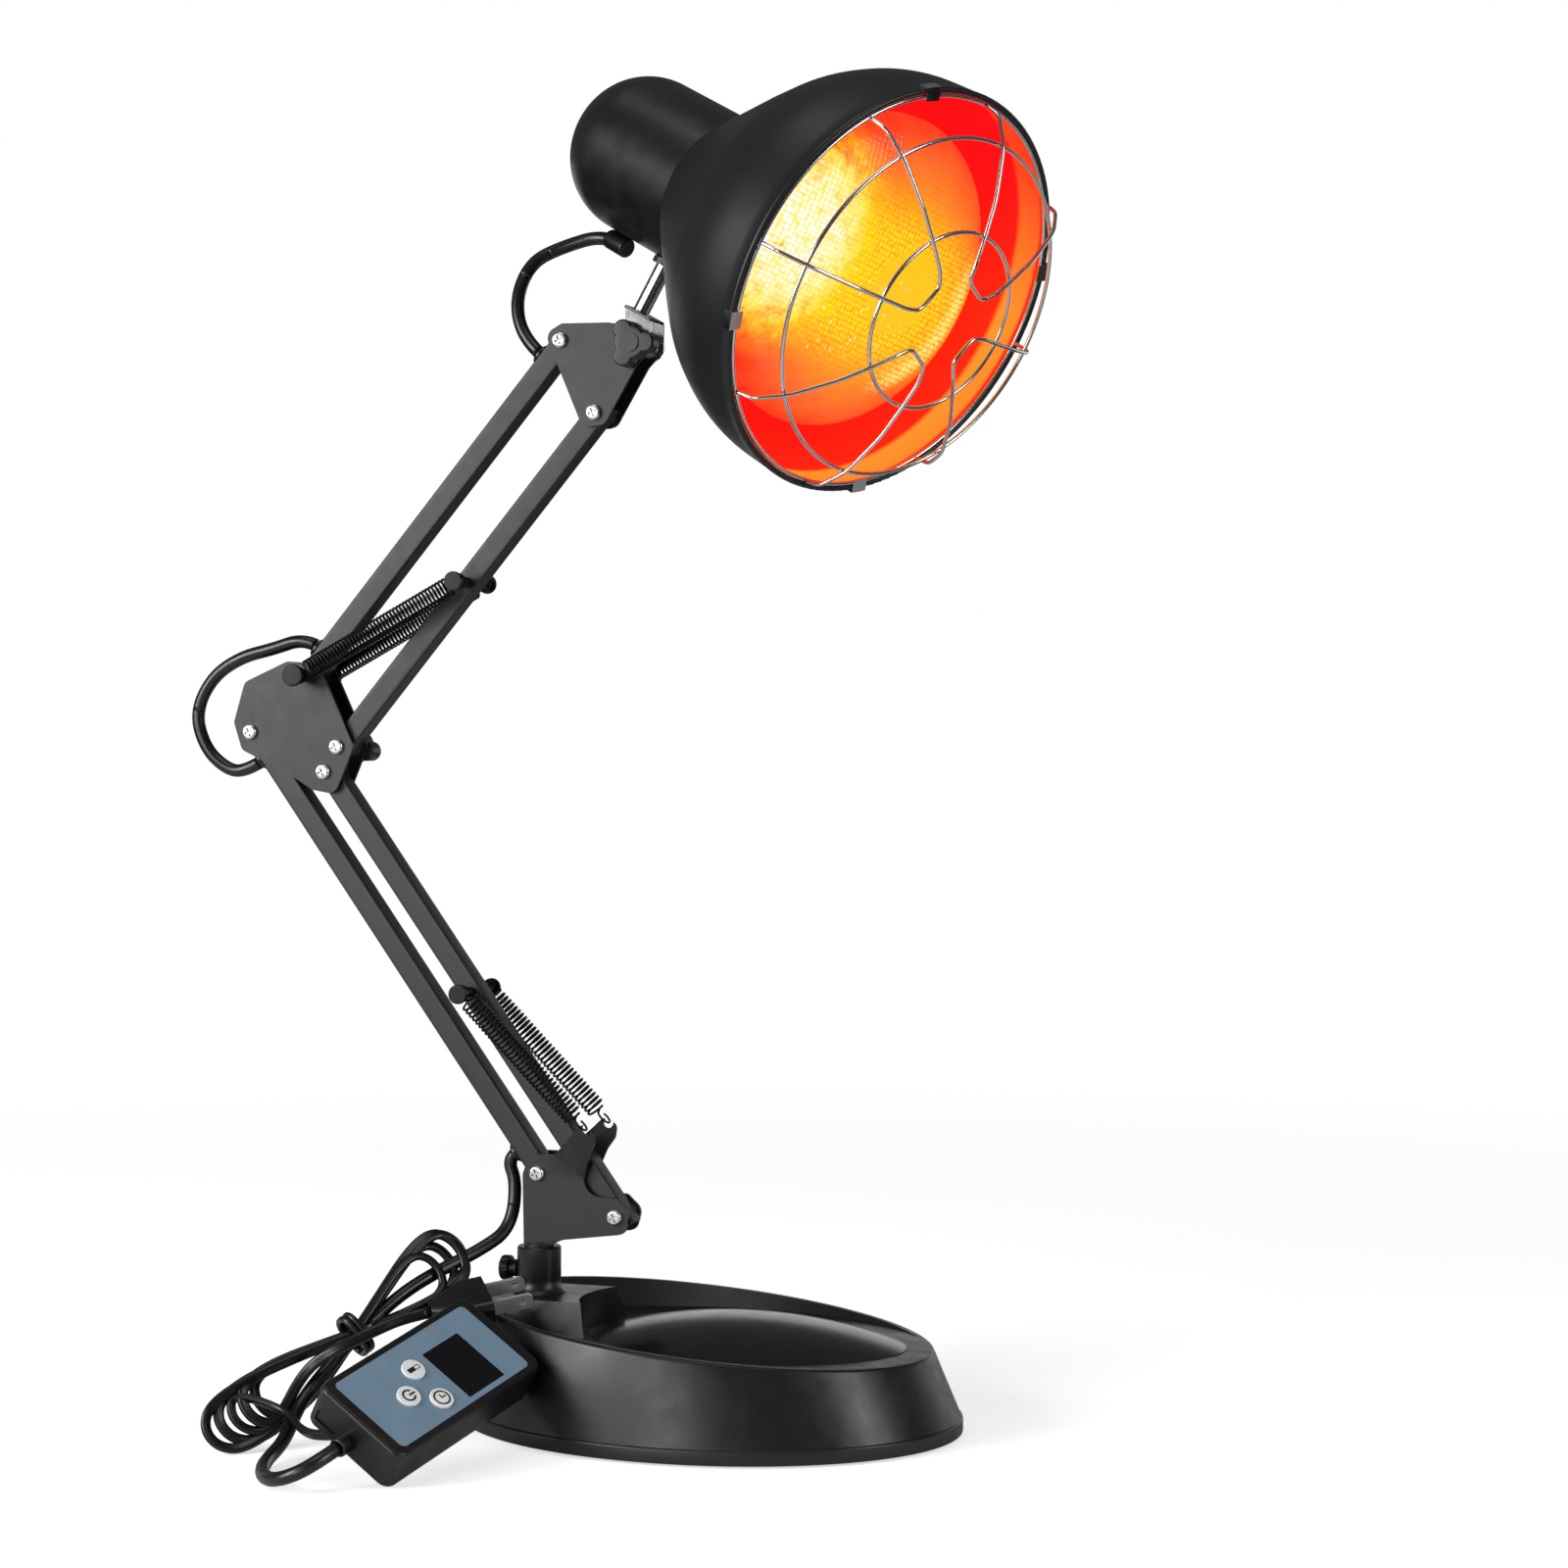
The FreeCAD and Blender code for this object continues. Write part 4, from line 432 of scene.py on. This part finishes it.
def shadeFinish():
    # Sprayed and baked enamel on spun steel: smooth satin black outside. Inside is a reflector coat with the
    # bulb's light painted on as red colour and glow, with a painted orange reflection band on the straight
    # wall behind the rim
    look = {
        # Emission Strength: how strongly the inside glows with painted bulb light; the shade itself gives no
        # light
        "shader": {"IOR": 1.5, "Roughness": 0.42, "Emission Strength": 0.74}, "grain": (1.4, 0.008),
        "outside": "#0f1011", "deep": -0.06, "high": (0.012, 0.066), "topPaintedShade": (0.8, "#d40019"),
        "paintedGlowInwards": ((0.0, "#d80414"), (0.05, "#e8101a"), (0.075, "#ff8a2c"), (0.24, "#ff962e"),
                    (0.28, "#fb2410"), (0.6, "#f6160e"), (1.0, "#da0618")),
    }
    made, tree, shader, place = startMaterial("enamelWithPaintedGlow", look)
    axes = headCoordinates(tree, place)
    facing = alongHead(tree, addNode(tree, "ShaderNodeTexCoord").outputs["Normal"])
    spot, turned = [addNode(tree, "ShaderNodeCombineXYZ", {0: parts[0], 1: parts[1]}).outputs["Vector"]
                    for parts in (axes, facing)]
    outward = addNode(tree, "ShaderNodeVectorMath", {"operation": "NORMALIZE", 0: spot}).outputs["Vector"]
    along = addNode(tree, "ShaderNodeVectorMath", {
        "operation": "DOT_PRODUCT", 0: turned, 1: outward}).outputs["Value"]
    inward, forward, behind = [addNode(tree, "ShaderNodeMath", {
        "operation": test, 0: value, 1: limit}).outputs[0]
        for test, value, limit in (
            ("LESS_THAN", along, -0.05), ("GREATER_THAN", facing[2], 0.35), ("LESS_THAN", axes[2], -0.0003))]
    either = addNode(tree, "ShaderNodeMath", {"operation": "MAXIMUM", 0: inward, 1: forward}).outputs[0]
    inside = maskOf(tree, either, behind)
    # painted bulb light along the inside's depth: red, then a painted orange reflection band behind the rim,
    # then red again
    warm = rampOver(tree, axes[2], 0.0, look["deep"], look["paintedGlowInwards"])
    # painted shade: a deeper red laid over the upper part of the inside
    low, high = look["high"]
    upper = addNode(tree, "ShaderNodeMapRange", {"Value": axes[1], "From Min": low, "From Max": high})
    strength, coat = look["topPaintedShade"]
    warm = painted(tree, warm, ((maskOf(tree, upper.outputs["Result"], strength), coat),))
    # the painted light goes into both the colour and the glow of the inside; the outside stays black and does
    # not glow
    for socket, outside in (("Base Color", look["outside"]), ("Emission Color", "#000000")):
        tree.links.new(painted(tree, outside, ((inside, warm),)), shader.inputs[socket])
    addGrain(tree, shader, place, *look["grain"])
    return made


litBulb = bulbFinish()
enamelWithPaintedGlow = shadeFinish()

finishes = {
    "black_plastic": mouldedAbs, "dome_gloss": polishedAbs, "cast_weight": castIron, "foot_rubber": nitrile,
    "powder_black": powderCoat, "shade_enamel": enamelWithPaintedGlow, "bright_screws": brightNickel,
    "chrome": chromePlate, "spring_steel": springSteel, "pin_black": blackOxide, "cord_rubber": cordVinyl,
    "knob_black": nylonBlack, "bulb_glass": litBulb, "cap_brass": pressedBrass,
    "holder_ceramic": glazedCeramic, "panel_blue": printedPanel, "display_black": smokedAcrylic,
    "button_white": whiteAbs, "board_green": maskedBoard, "blade_steel": bladeNickel,
}

# Drawn wire has few sides, so its facets meet at a wider angle than a face seam
smoothing = {"weld": 0.000004, "seam": 32, "wire": 64, "wireLike": ("chrome", "cord_rubber")}


def smoothTools(name, sharpest):  # joins face seams and shades smooth except over real edges
    tree = bpy.data.node_groups.new(name, "GeometryNodeTree")
    for way in ("INPUT", "OUTPUT"):
        tree.interface.new_socket("Geometry", in_out=way, socket_type="NodeSocketGeometry")
    start = addNode(tree, "NodeGroupInput")
    joined = addNode(tree, "GeometryNodeMergeByDistance", {
        "Geometry": start.outputs[0], "Distance": smoothing["weld"]})
    angle = addNode(tree, "GeometryNodeInputMeshEdgeAngle").outputs["Unsigned Angle"]
    shallow = addNode(tree, "FunctionNodeCompare", {
        "operation": "LESS_THAN", "A": angle, "B": math.radians(sharpest)})
    faces = addNode(tree, "GeometryNodeSetShadeSmooth", {
        "domain": "FACE", "Geometry": joined.outputs["Geometry"]})
    edges = addNode(tree, "GeometryNodeSetShadeSmooth", {
        "domain": "EDGE", "Geometry": faces.outputs["Geometry"], "Shade Smooth": shallow.outputs["Result"]})
    addNode(tree, "NodeGroupOutput", {0: edges.outputs["Geometry"]})
    return tree


print("carried nodes")
smoothSeams = smoothTools("smoothSeams", smoothing["seam"])
smoothWire = smoothTools("smoothWire", smoothing["wire"])
for part in frame["record"]["subparts"]:
    piece = nodes[part["node"]]
    piece.data.materials.clear()
    piece.data.materials.append(finishes[part["material_slot"]])
    wireLike = part["material_slot"] in smoothing["wireLike"]
    piece.modifiers.new("smooth", "NODES").node_group = smoothWire if wireLike else smoothSeams


def finish(piece, slot, body=None):
    piece.data.materials.clear()
    piece.data.materials.append(finishes[slot])
    if body:
        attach(piece, body)
    return piece


# Cords
print("cords")
cordLook = {"lead": 5.6, "supplyWide": 4.6, "supplyThick": 2.9, "sides": 14}
headLoop = (
    (0.7, 0.0, 443.7), (-7.6, 1.5, 450.8), (-12.4, 5.5, 467.0), (-7.6, 10.5, 483.0), (5.0, 15.0, 489.6),
    tuple(inHead(0.0, -head["glandDrop"], -head["glandRun"]) / mm),
    tuple(inHead(0.0, -head["glandDrop"], -head["glandBehind"]) / mm),
)
elbowLoop = (
    (-103.0, 0.0, 322.4), (-109.4, 0.0, 325.2), (-123.0, 0.0, 321.0), (-138.6, 0.0, 317.6),
    (-152.8, 0.0, 309.0), (-161.0, 0.0, 293.6), (-156.4, 0.0, 278.4), (-147.0, 0.0, 269.8),
    (-138.2, 0.0, 267.6), (-129.9, 0.0, 272.1),
)
leadTop = ((-10.9, 0.0, 107.8), (-14.2, 0.0, 105.2), (-10.2, -0.4, 96.0), (-10.6, -2.2, 86.5))
leadLow = (
    (-10.6, -2.0, 87.4), (-11.0, -4.0, 77.0), (-21.5, -15.0, 68.5), (-33.0, -30.0, 62.0),
)
leadThrough = ((-42.0, -45.0, 55.0), (-51.0, -60.0, 44.0), (-59.0, -76.0, 31.0))
controlLoop = (
    (-66.0, -91.0, 17.0), (-62.0, -111.0, 6.6), (-60.0, -132.0, 3.2), (-51.5, -151.0, 3.2),
    (-40.5, -163.0, 4.4), (-29.5, -165.2, 8.2), (-22.2, -160.0, 12.8), (-19.5, -152.0, 15.4),
)
plugLead = (
    (-66.0, -86.0, 30.0), (-52.0, -85.0, 39.0), (-38.4, -74.6, 45.8), (-31.6, -66.7, 49.0),
    (-22.6, -60.1, 50.8),
)


def cordPieces(names, points, cuts, joints, replaced):  # one cord cut where it passes from body to body
    line = routeLine(scaled(points), 12)
    section = roundSection(cordLook["lead"] / 2 * mm, cordLook["sides"])
    rings = ringsAlong(line, section, Vector((0.0, 1.0, 0.0)))
    edges = [0] + [round(c * (len(line) - 1)) for c in cuts] + [len(line) - 1]
    made = []
    for name, first, last, pair in zip(names, edges, edges[1:], joints):
        piece = finish(tubeMesh(name, rings[first:last + 1]), "cord_rubber")
        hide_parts(*replaced)
        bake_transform(piece)
        made.append((piece, line[first:last + 1]))
    return made


headPieces = cordPieces(
    ("headCordArm", "headCordBracket", "headCordHousing"), headLoop, (0.42, 0.62),
    (("upper_rear_arm", "head_bracket"), ("head_bracket", "yoke"), ("yoke", "head")), ("head_loop_cord",))
elbowPieces = cordPieces(
    ("elbowCordUpper", "elbowCordLower"), elbowLoop, (0.55,),
    (("upper_rear_arm", "elbow"), ("elbow", "lower_rear_arm")), ("elbow_loop_cord",))
topPieces = cordPieces(
    ("leadTop",), leadTop, (), (("lower_rear_arm", "lower_bracket"),), ("lamp_lead_top",))
leadPieces = cordPieces(
    ("lampLead",), leadLow + leadThrough + controlLoop, (), (("lower_bracket", "base"),),
    ("lamp_lead", "controller_cord"))

# The supply cord: from its plug into the tied hank, round it, and out to the back of the hand controller
hank = {
    "low": (-92.0, -112.0, 7.0), "waist": (-53.6, -65.0, 41.0), "high": (-27.4, -17.0, 73.0),
    "face": (0.31, -0.94, 0.14), "round": 0.06, "inset": 0.955, "cutAt": 0.9, "perFold": 8,
    "folds": (  # which end, how far it reaches, how wide it is, how far towards the front it lies
        (-1, 0.84, 11.4, 2.6), (1, 0.98, 13.0, 1.6), (-1, 1.0, 12.2, 0.6), (1, 0.88, 11.4, -0.4),
        (-1, 0.74, 10.8, -1.4), (1, 1.0, 11.6, 0.8), (-1, 1.1, 12.0, 3.0), (1, 0.74, 10.4, 3.4),
        (-1, 0.92, 11.0, 1.4)),
}
hankAt = {name: Vector(hank[name]) for name in ("low", "waist", "high")}
hankRun = (hankAt["high"] - hankAt["low"]).normalized()
hankAcross = hankRun.cross(Vector(hank["face"])).normalized()
hankThrough = hankAcross.cross(hankRun)


def hankPoint(along, across, through):  # along from -1 at the low end to 1 at the high end
    bow = (hankAt["high"] + hankAt["low"]) / 2 - hankAt["waist"]
    spine = hankAt["waist"] + (hankAt["high"] - hankAt["low"]) / 2 * along + bow * along * along
    return tuple(spine + hankAcross * across + hankThrough * through)


def hankTurns():  # folds that alternate between the two ends, cross at the tie and fan out towards each end
    points, folds = [], hank["folds"]
    for index, (end, reach, wide, layer) in enumerate(folds):
        before, after = folds[max(index - 1, 0)][3], folds[min(index + 1, len(folds) - 1)][3]
        for i in range(hank["perFold"]):
            angle = math.pi * ((i + 0.5) / hank["perFold"] - 0.5)
            if (index == 0 and angle < -hank["cutAt"]) or (index == len(folds) - 1 and angle > hank["cutAt"]):
                continue  # the first fold's way in and the last one's way out are the plug's lead and the end
            flat = (1 + hank["round"]) * math.cos(angle) - hank["round"] * math.cos(3 * angle)
            beside = after if angle > 0 else before
            points.append(hankPoint(end * reach * hank["inset"] * flat, -wide * math.sin(2 * angle),
                                    layer + (beside - layer) / 2 * abs(math.sin(angle))))
    return points


supplyEnd = ((-66.0, -100.0, 16.0), (-52.0, -116.0, 12.0), (-36.0, -128.0, 14.0), (-22.0, -131.0, 17.0))
supplyPoints = tuple(reversed(plugLead)) + tuple(hankTurns()) + supplyEnd
supplyLine = routeLine(scaled(supplyPoints), 7)
supply = finish(tubeMesh("supplyCord", ringsAlong(
    supplyLine, twinSection(cordLook["supplyWide"] * mm, cordLook["supplyThick"] * mm), hankAcross)),
    "cord_rubber", "base")
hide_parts("plug_cord", "cord_hank")
print("cord lengths", round(lineLength(supplyLine), 3), [round(lineLength(p[1]), 3) for p in leadPieces])

# Springs
print("springs")
spring = {"wire": 1.0, "outer": 9.2, "loop": 3.2, "neck": 1.5, "apart": 13.0, "perTurn": 12, "sides": 6,
          "loopFrom": -300, "loopStep": 20, "loopPoints": 16, "neckPoints": 6}
springEnds = {
    "lower": {"low": (26.4, 0.0, 121.0), "high": (-29.17, 0.0, 176.02), "hooked": True, "turns": 33,
              "bodies": ("lower_bracket", "lower_front_arm")},
    "upper": {"low": (-104.63, 0.0, 309.28), "high": (-30.8, 0.0, 348.21), "hooked": False, "turns": 44,
              "bodies": ("elbow", "upper_front_arm")},
}


def springEndPath(centre, along, side):  # a full loop, its neck, and the run out to the coil
    loop, neck, steps = spring["loop"], spring["neck"], spring["neckPoints"]
    points = []
    for i in range(spring["loopPoints"]):
        angle = math.radians(spring["loopFrom"] + spring["loopStep"] * i)
        points.append(centre + (along * math.cos(angle) + side * math.sin(angle)) * loop)
    radius = (spring["outer"] - spring["wire"]) / 2
    other = along.cross(side)
    for i in range(1, steps + 1):
        angle = -math.pi * (1 - i / steps)
        grow = radius * i / steps
        points.append(centre + along * (loop + neck * i / steps)
                      + (side * math.cos(angle) + other * math.sin(angle)) * grow)
    return points


def springPath(low, high, hooked, turns):
    along = (high - low).normalized()
    sideways = Vector((0.0, 1.0, 0.0))
    flatSide = sideways.cross(along)
    lowCentre = low + along * (spring["loop"] if hooked else 0.0)
    reach = spring["loop"] + spring["neck"]
    start, end = lowCentre + along * reach, high - along * reach
    radius = (spring["outer"] - spring["wire"]) / 2
    lowSide = sideways if hooked else flatSide
    first = springEndPath(lowCentre, along, lowSide)
    last = springEndPath(high, -along, flatSide)
    other = along.cross(lowSide)
    offset = math.atan2(flatSide.dot(other), flatSide.dot(lowSide))
    total = 2 * math.pi * turns + offset
    steps = turns * spring["perTurn"]
    coil = [start + (end - start) * (i / steps)
            + (lowSide * math.cos(total * i / steps) + other * math.sin(total * i / steps)) * radius
            for i in range(1, steps)]
    return first + coil + last[::-1]


for name, ends in springEnds.items():
    for side, word in ((-1, "near"), (1, "far")):
        shift = Vector((0.0, side * spring["apart"], 0.0))
        low, high = [(Vector(ends[k]) + shift) * mm for k in ("low", "high")]
        scaledPath = [p * mm for p in springPath(low / mm, high / mm, ends["hooked"], ends["turns"])]
        coil = finish(tubeMesh(name + "Spring" + word.title(), ringsAlong(
            scaledPath, roundSection(spring["wire"] / 2 * mm, spring["sides"]))), "spring_steel")
        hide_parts(name + "_springs")
        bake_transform(coil)

# Hand controller: signs printed on the keys
print("controller")
case = {"centre": (1.4, -109.4, 36.9), "along": (0.2735, 0.9302, 0.2464), "up": (0.4992, -0.3563, 0.7908)}
caseUp = Vector(case["up"]).normalized()
caseSide = caseUp.cross(Vector(case["along"])).normalized()
caseAlong = caseSide.cross(caseUp)


def inCase(x, y, z):
    return Vector(case["centre"]) * mm + (caseAlong * x + caseSide * y + caseUp * z) * mm


signLook = {"thick": 0.06, "proud": 0.7, "lift": 0.002, "overhang": 0.4, "centres": {
    "button_temperature": (-5.4, 6.2), "button_power": (-17.4, -2.2), "button_timer": (-6.8, -10.4)}}


def strokeMesh(name, strokes, centre, floor):  # flat inked lines, each a short ribbon of its own width
    verts, faces = [], []
    for path, width in strokes:
        for (ax, ay), (bx, by) in zip(path, path[1:]):
            run = math.hypot(bx - ax, by - ay) or 1.0
            ux, uy = (bx - ax) / run, (by - ay) / run
            half = width / 2
            over = half * signLook["overhang"]
            a = len(verts)
            for x, y in ((ax - ux * over, ay - uy * over), (bx + ux * over, by + uy * over)):
                for s in (-1, 1):
                    left, front = centre[0] + x - uy * half * s, centre[1] + y + ux * half * s
                    verts += [inCase(left, front, z) for z in (floor, floor + signLook["thick"])]
            faces += [(a, a + 2, a + 6, a + 4), (a + 1, a + 5, a + 7, a + 3), (a, a + 4, a + 5, a + 1),
                      (a + 2, a + 3, a + 7, a + 6), (a, a + 1, a + 3, a + 2), (a + 4, a + 6, a + 7, a + 5)]
    made = meshObject(name, verts, faces, smooth=False)
    made.data.materials.append(inkBlack)
    return made


def arcPath(x, y, radius, first, last, steps=20):
    angles = [math.radians(first + (last - first) * i / steps) for i in range(steps + 1)]
    return [(x + radius * math.cos(angle), y + radius * math.sin(angle)) for angle in angles]


signs = {
    "button_power": [(arcPath(0, 0, 2.5, 38, 322), 0.8), ([(0.2, 0), (3.1, 0)], 0.8)],
    "button_timer": [(arcPath(0, 0, 3.2, 0, 360, 28), 0.7), ([(2.2, 0), (0, 0), (0, 1.6)], 0.6)],
    "button_temperature": [
        ([(-2.6, 0), (0.2, 0)], 2.1), ([(0.2, -0.85), (3.0, -0.85), (3.0, 0.85), (0.2, 0.85)], 0.35)],
}
signBodies = {
    "button_power": "power_key", "button_timer": "timer_key", "button_temperature": "temperature_key"}
for key, strokes in signs.items():
    sign = strokeMesh(key + "_sign", strokes, signLook["centres"][key], signLook["proud"] + signLook["lift"])
    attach(sign, signBodies[key])

# Stage and light
print("stage")
stageLook = {"floor": 9.0, "paper": "#f4f4f4", "lift": 0.62, "middle": (0.05, 0.0, 0.0), "near": 0.35,
             "far": 1.3, "room": 0.12, "wallAt": 2.6, "wallHigh": 0.95, "wall": 0.9}


def paperFinish():
    # Seamless paper: near white and matt, fading into the backdrop with distance so that no horizon shows
    made, tree, shader, place = startMaterial("seamlessPaper", {"shader": {
        "Base Color": stageLook["paper"], "Roughness": 0.9, "Specular IOR Level": 0.1,
        "Emission Color": "#ffffff"}})
    path = addNode(tree, "ShaderNodeLightPath").outputs
    seen = addNode(tree, "ShaderNodeMath", {
        "operation": "MAXIMUM", 0: path["Is Camera Ray"], 1: path["Is Transmission Ray"]}).outputs[0]
    away = addNode(tree, "ShaderNodeVectorMath", {"operation": "DISTANCE", 0: place, 1: stageLook["middle"]})
    far = fadeOver(tree, away.outputs["Value"], stageLook["far"], stageLook["near"])
    tree.links.new(painted(tree, stageLook["paper"], ((far, "#000000"),)), shader.inputs["Base Color"])
    lift = addNode(tree, "ShaderNodeMapRange", {"Value": far, "To Min": stageLook["lift"], "To Max": 1.0})
    tree.links.new(maskOf(tree, seen, lift.outputs["Result"]), shader.inputs["Emission Strength"])
    return made


reach = stageLook["floor"] / 2
floorCorners = [(-reach, -reach, 0), (reach, -reach, 0), (reach, reach, 0), (-reach, reach, 0)]
floor = meshObject("floor", floorCorners, [(0, 1, 2, 3)], smooth=False)
floor.data.materials.append(paperFinish())


def wallFinish():
    # Backdrop card: pale where it is seen or mirrored, and casting no light of its own
    made, tree, shader, place = startMaterial("backdropCard", {"shader": {
        "Base Color": "#000000", "Roughness": 1.0, "Specular IOR Level": 0.0, "Emission Color": "#ffffff"}})
    path = addNode(tree, "ShaderNodeLightPath").outputs
    mirrored = maskOf(tree, path["Is Glossy Ray"], stageLook["wall"])
    seen = addNode(tree, "ShaderNodeMath", {"operation": "MAXIMUM", 0: path["Is Camera Ray"], 1: mirrored})
    tree.links.new(seen.outputs[0], shader.inputs["Emission Strength"])
    return made


back, high = stageLook["wallAt"], stageLook["wallHigh"]
wallCorners = [(-reach, back, 0), (reach, back, 0), (reach, back, high), (-reach, back, high)]
wall = meshObject("backdrop", wallCorners, [(0, 1, 2, 3)], smooth=False)
wall.data.materials.append(wallFinish())

world = bpy.data.worlds.new("studio")
bpy.context.scene.world = world
world.use_nodes = True
backdrop = world.node_tree.nodes["Background"]
lightPath = addNode(world.node_tree, "ShaderNodeLightPath")
seenWhite = addNode(world.node_tree, "ShaderNodeMapRange", {
    "Value": lightPath.outputs["Is Camera Ray"], "To Min": stageLook["room"], "To Max": 1.0})
world.node_tree.links.new(seenWhite.outputs["Result"], backdrop.inputs["Strength"])
backdrop.inputs["Color"].default_value = (1.0, 1.0, 1.0, 1.0)

lampAim = Vector((0.0, 0.0, 0.25))
lamps = {
    "keySoftbox": {"place": (-1.2, -1.35, 0.75), "size": (0.8, 1.0), "power": 27.0},
    "frontSoftbox": {"place": (-0.35, -1.9, 0.35), "size": (0.6, 0.6), "power": 6.5},
    "rightSoftbox": {"place": (1.5, -0.4, 0.6), "size": (0.4, 1.0), "power": 7.0},
    "topSoftbox": {"place": (0.0, -0.35, 1.8), "size": (1.0, 0.7), "power": 4.0},
}
for name, lamp in lamps.items():
    data = bpy.data.lights.new(name, "AREA")
    data.shape = "RECTANGLE"
    data.size, data.size_y = lamp["size"]
    data.energy = lamp["power"]
    light = addObject(name, data)
    light.location = lamp["place"]
    light.rotation_euler = (lampAim - Vector(lamp["place"])).to_track_quat("-Z", "Y").to_euler()

bpy.context.scene.view_settings.view_transform = "Standard"
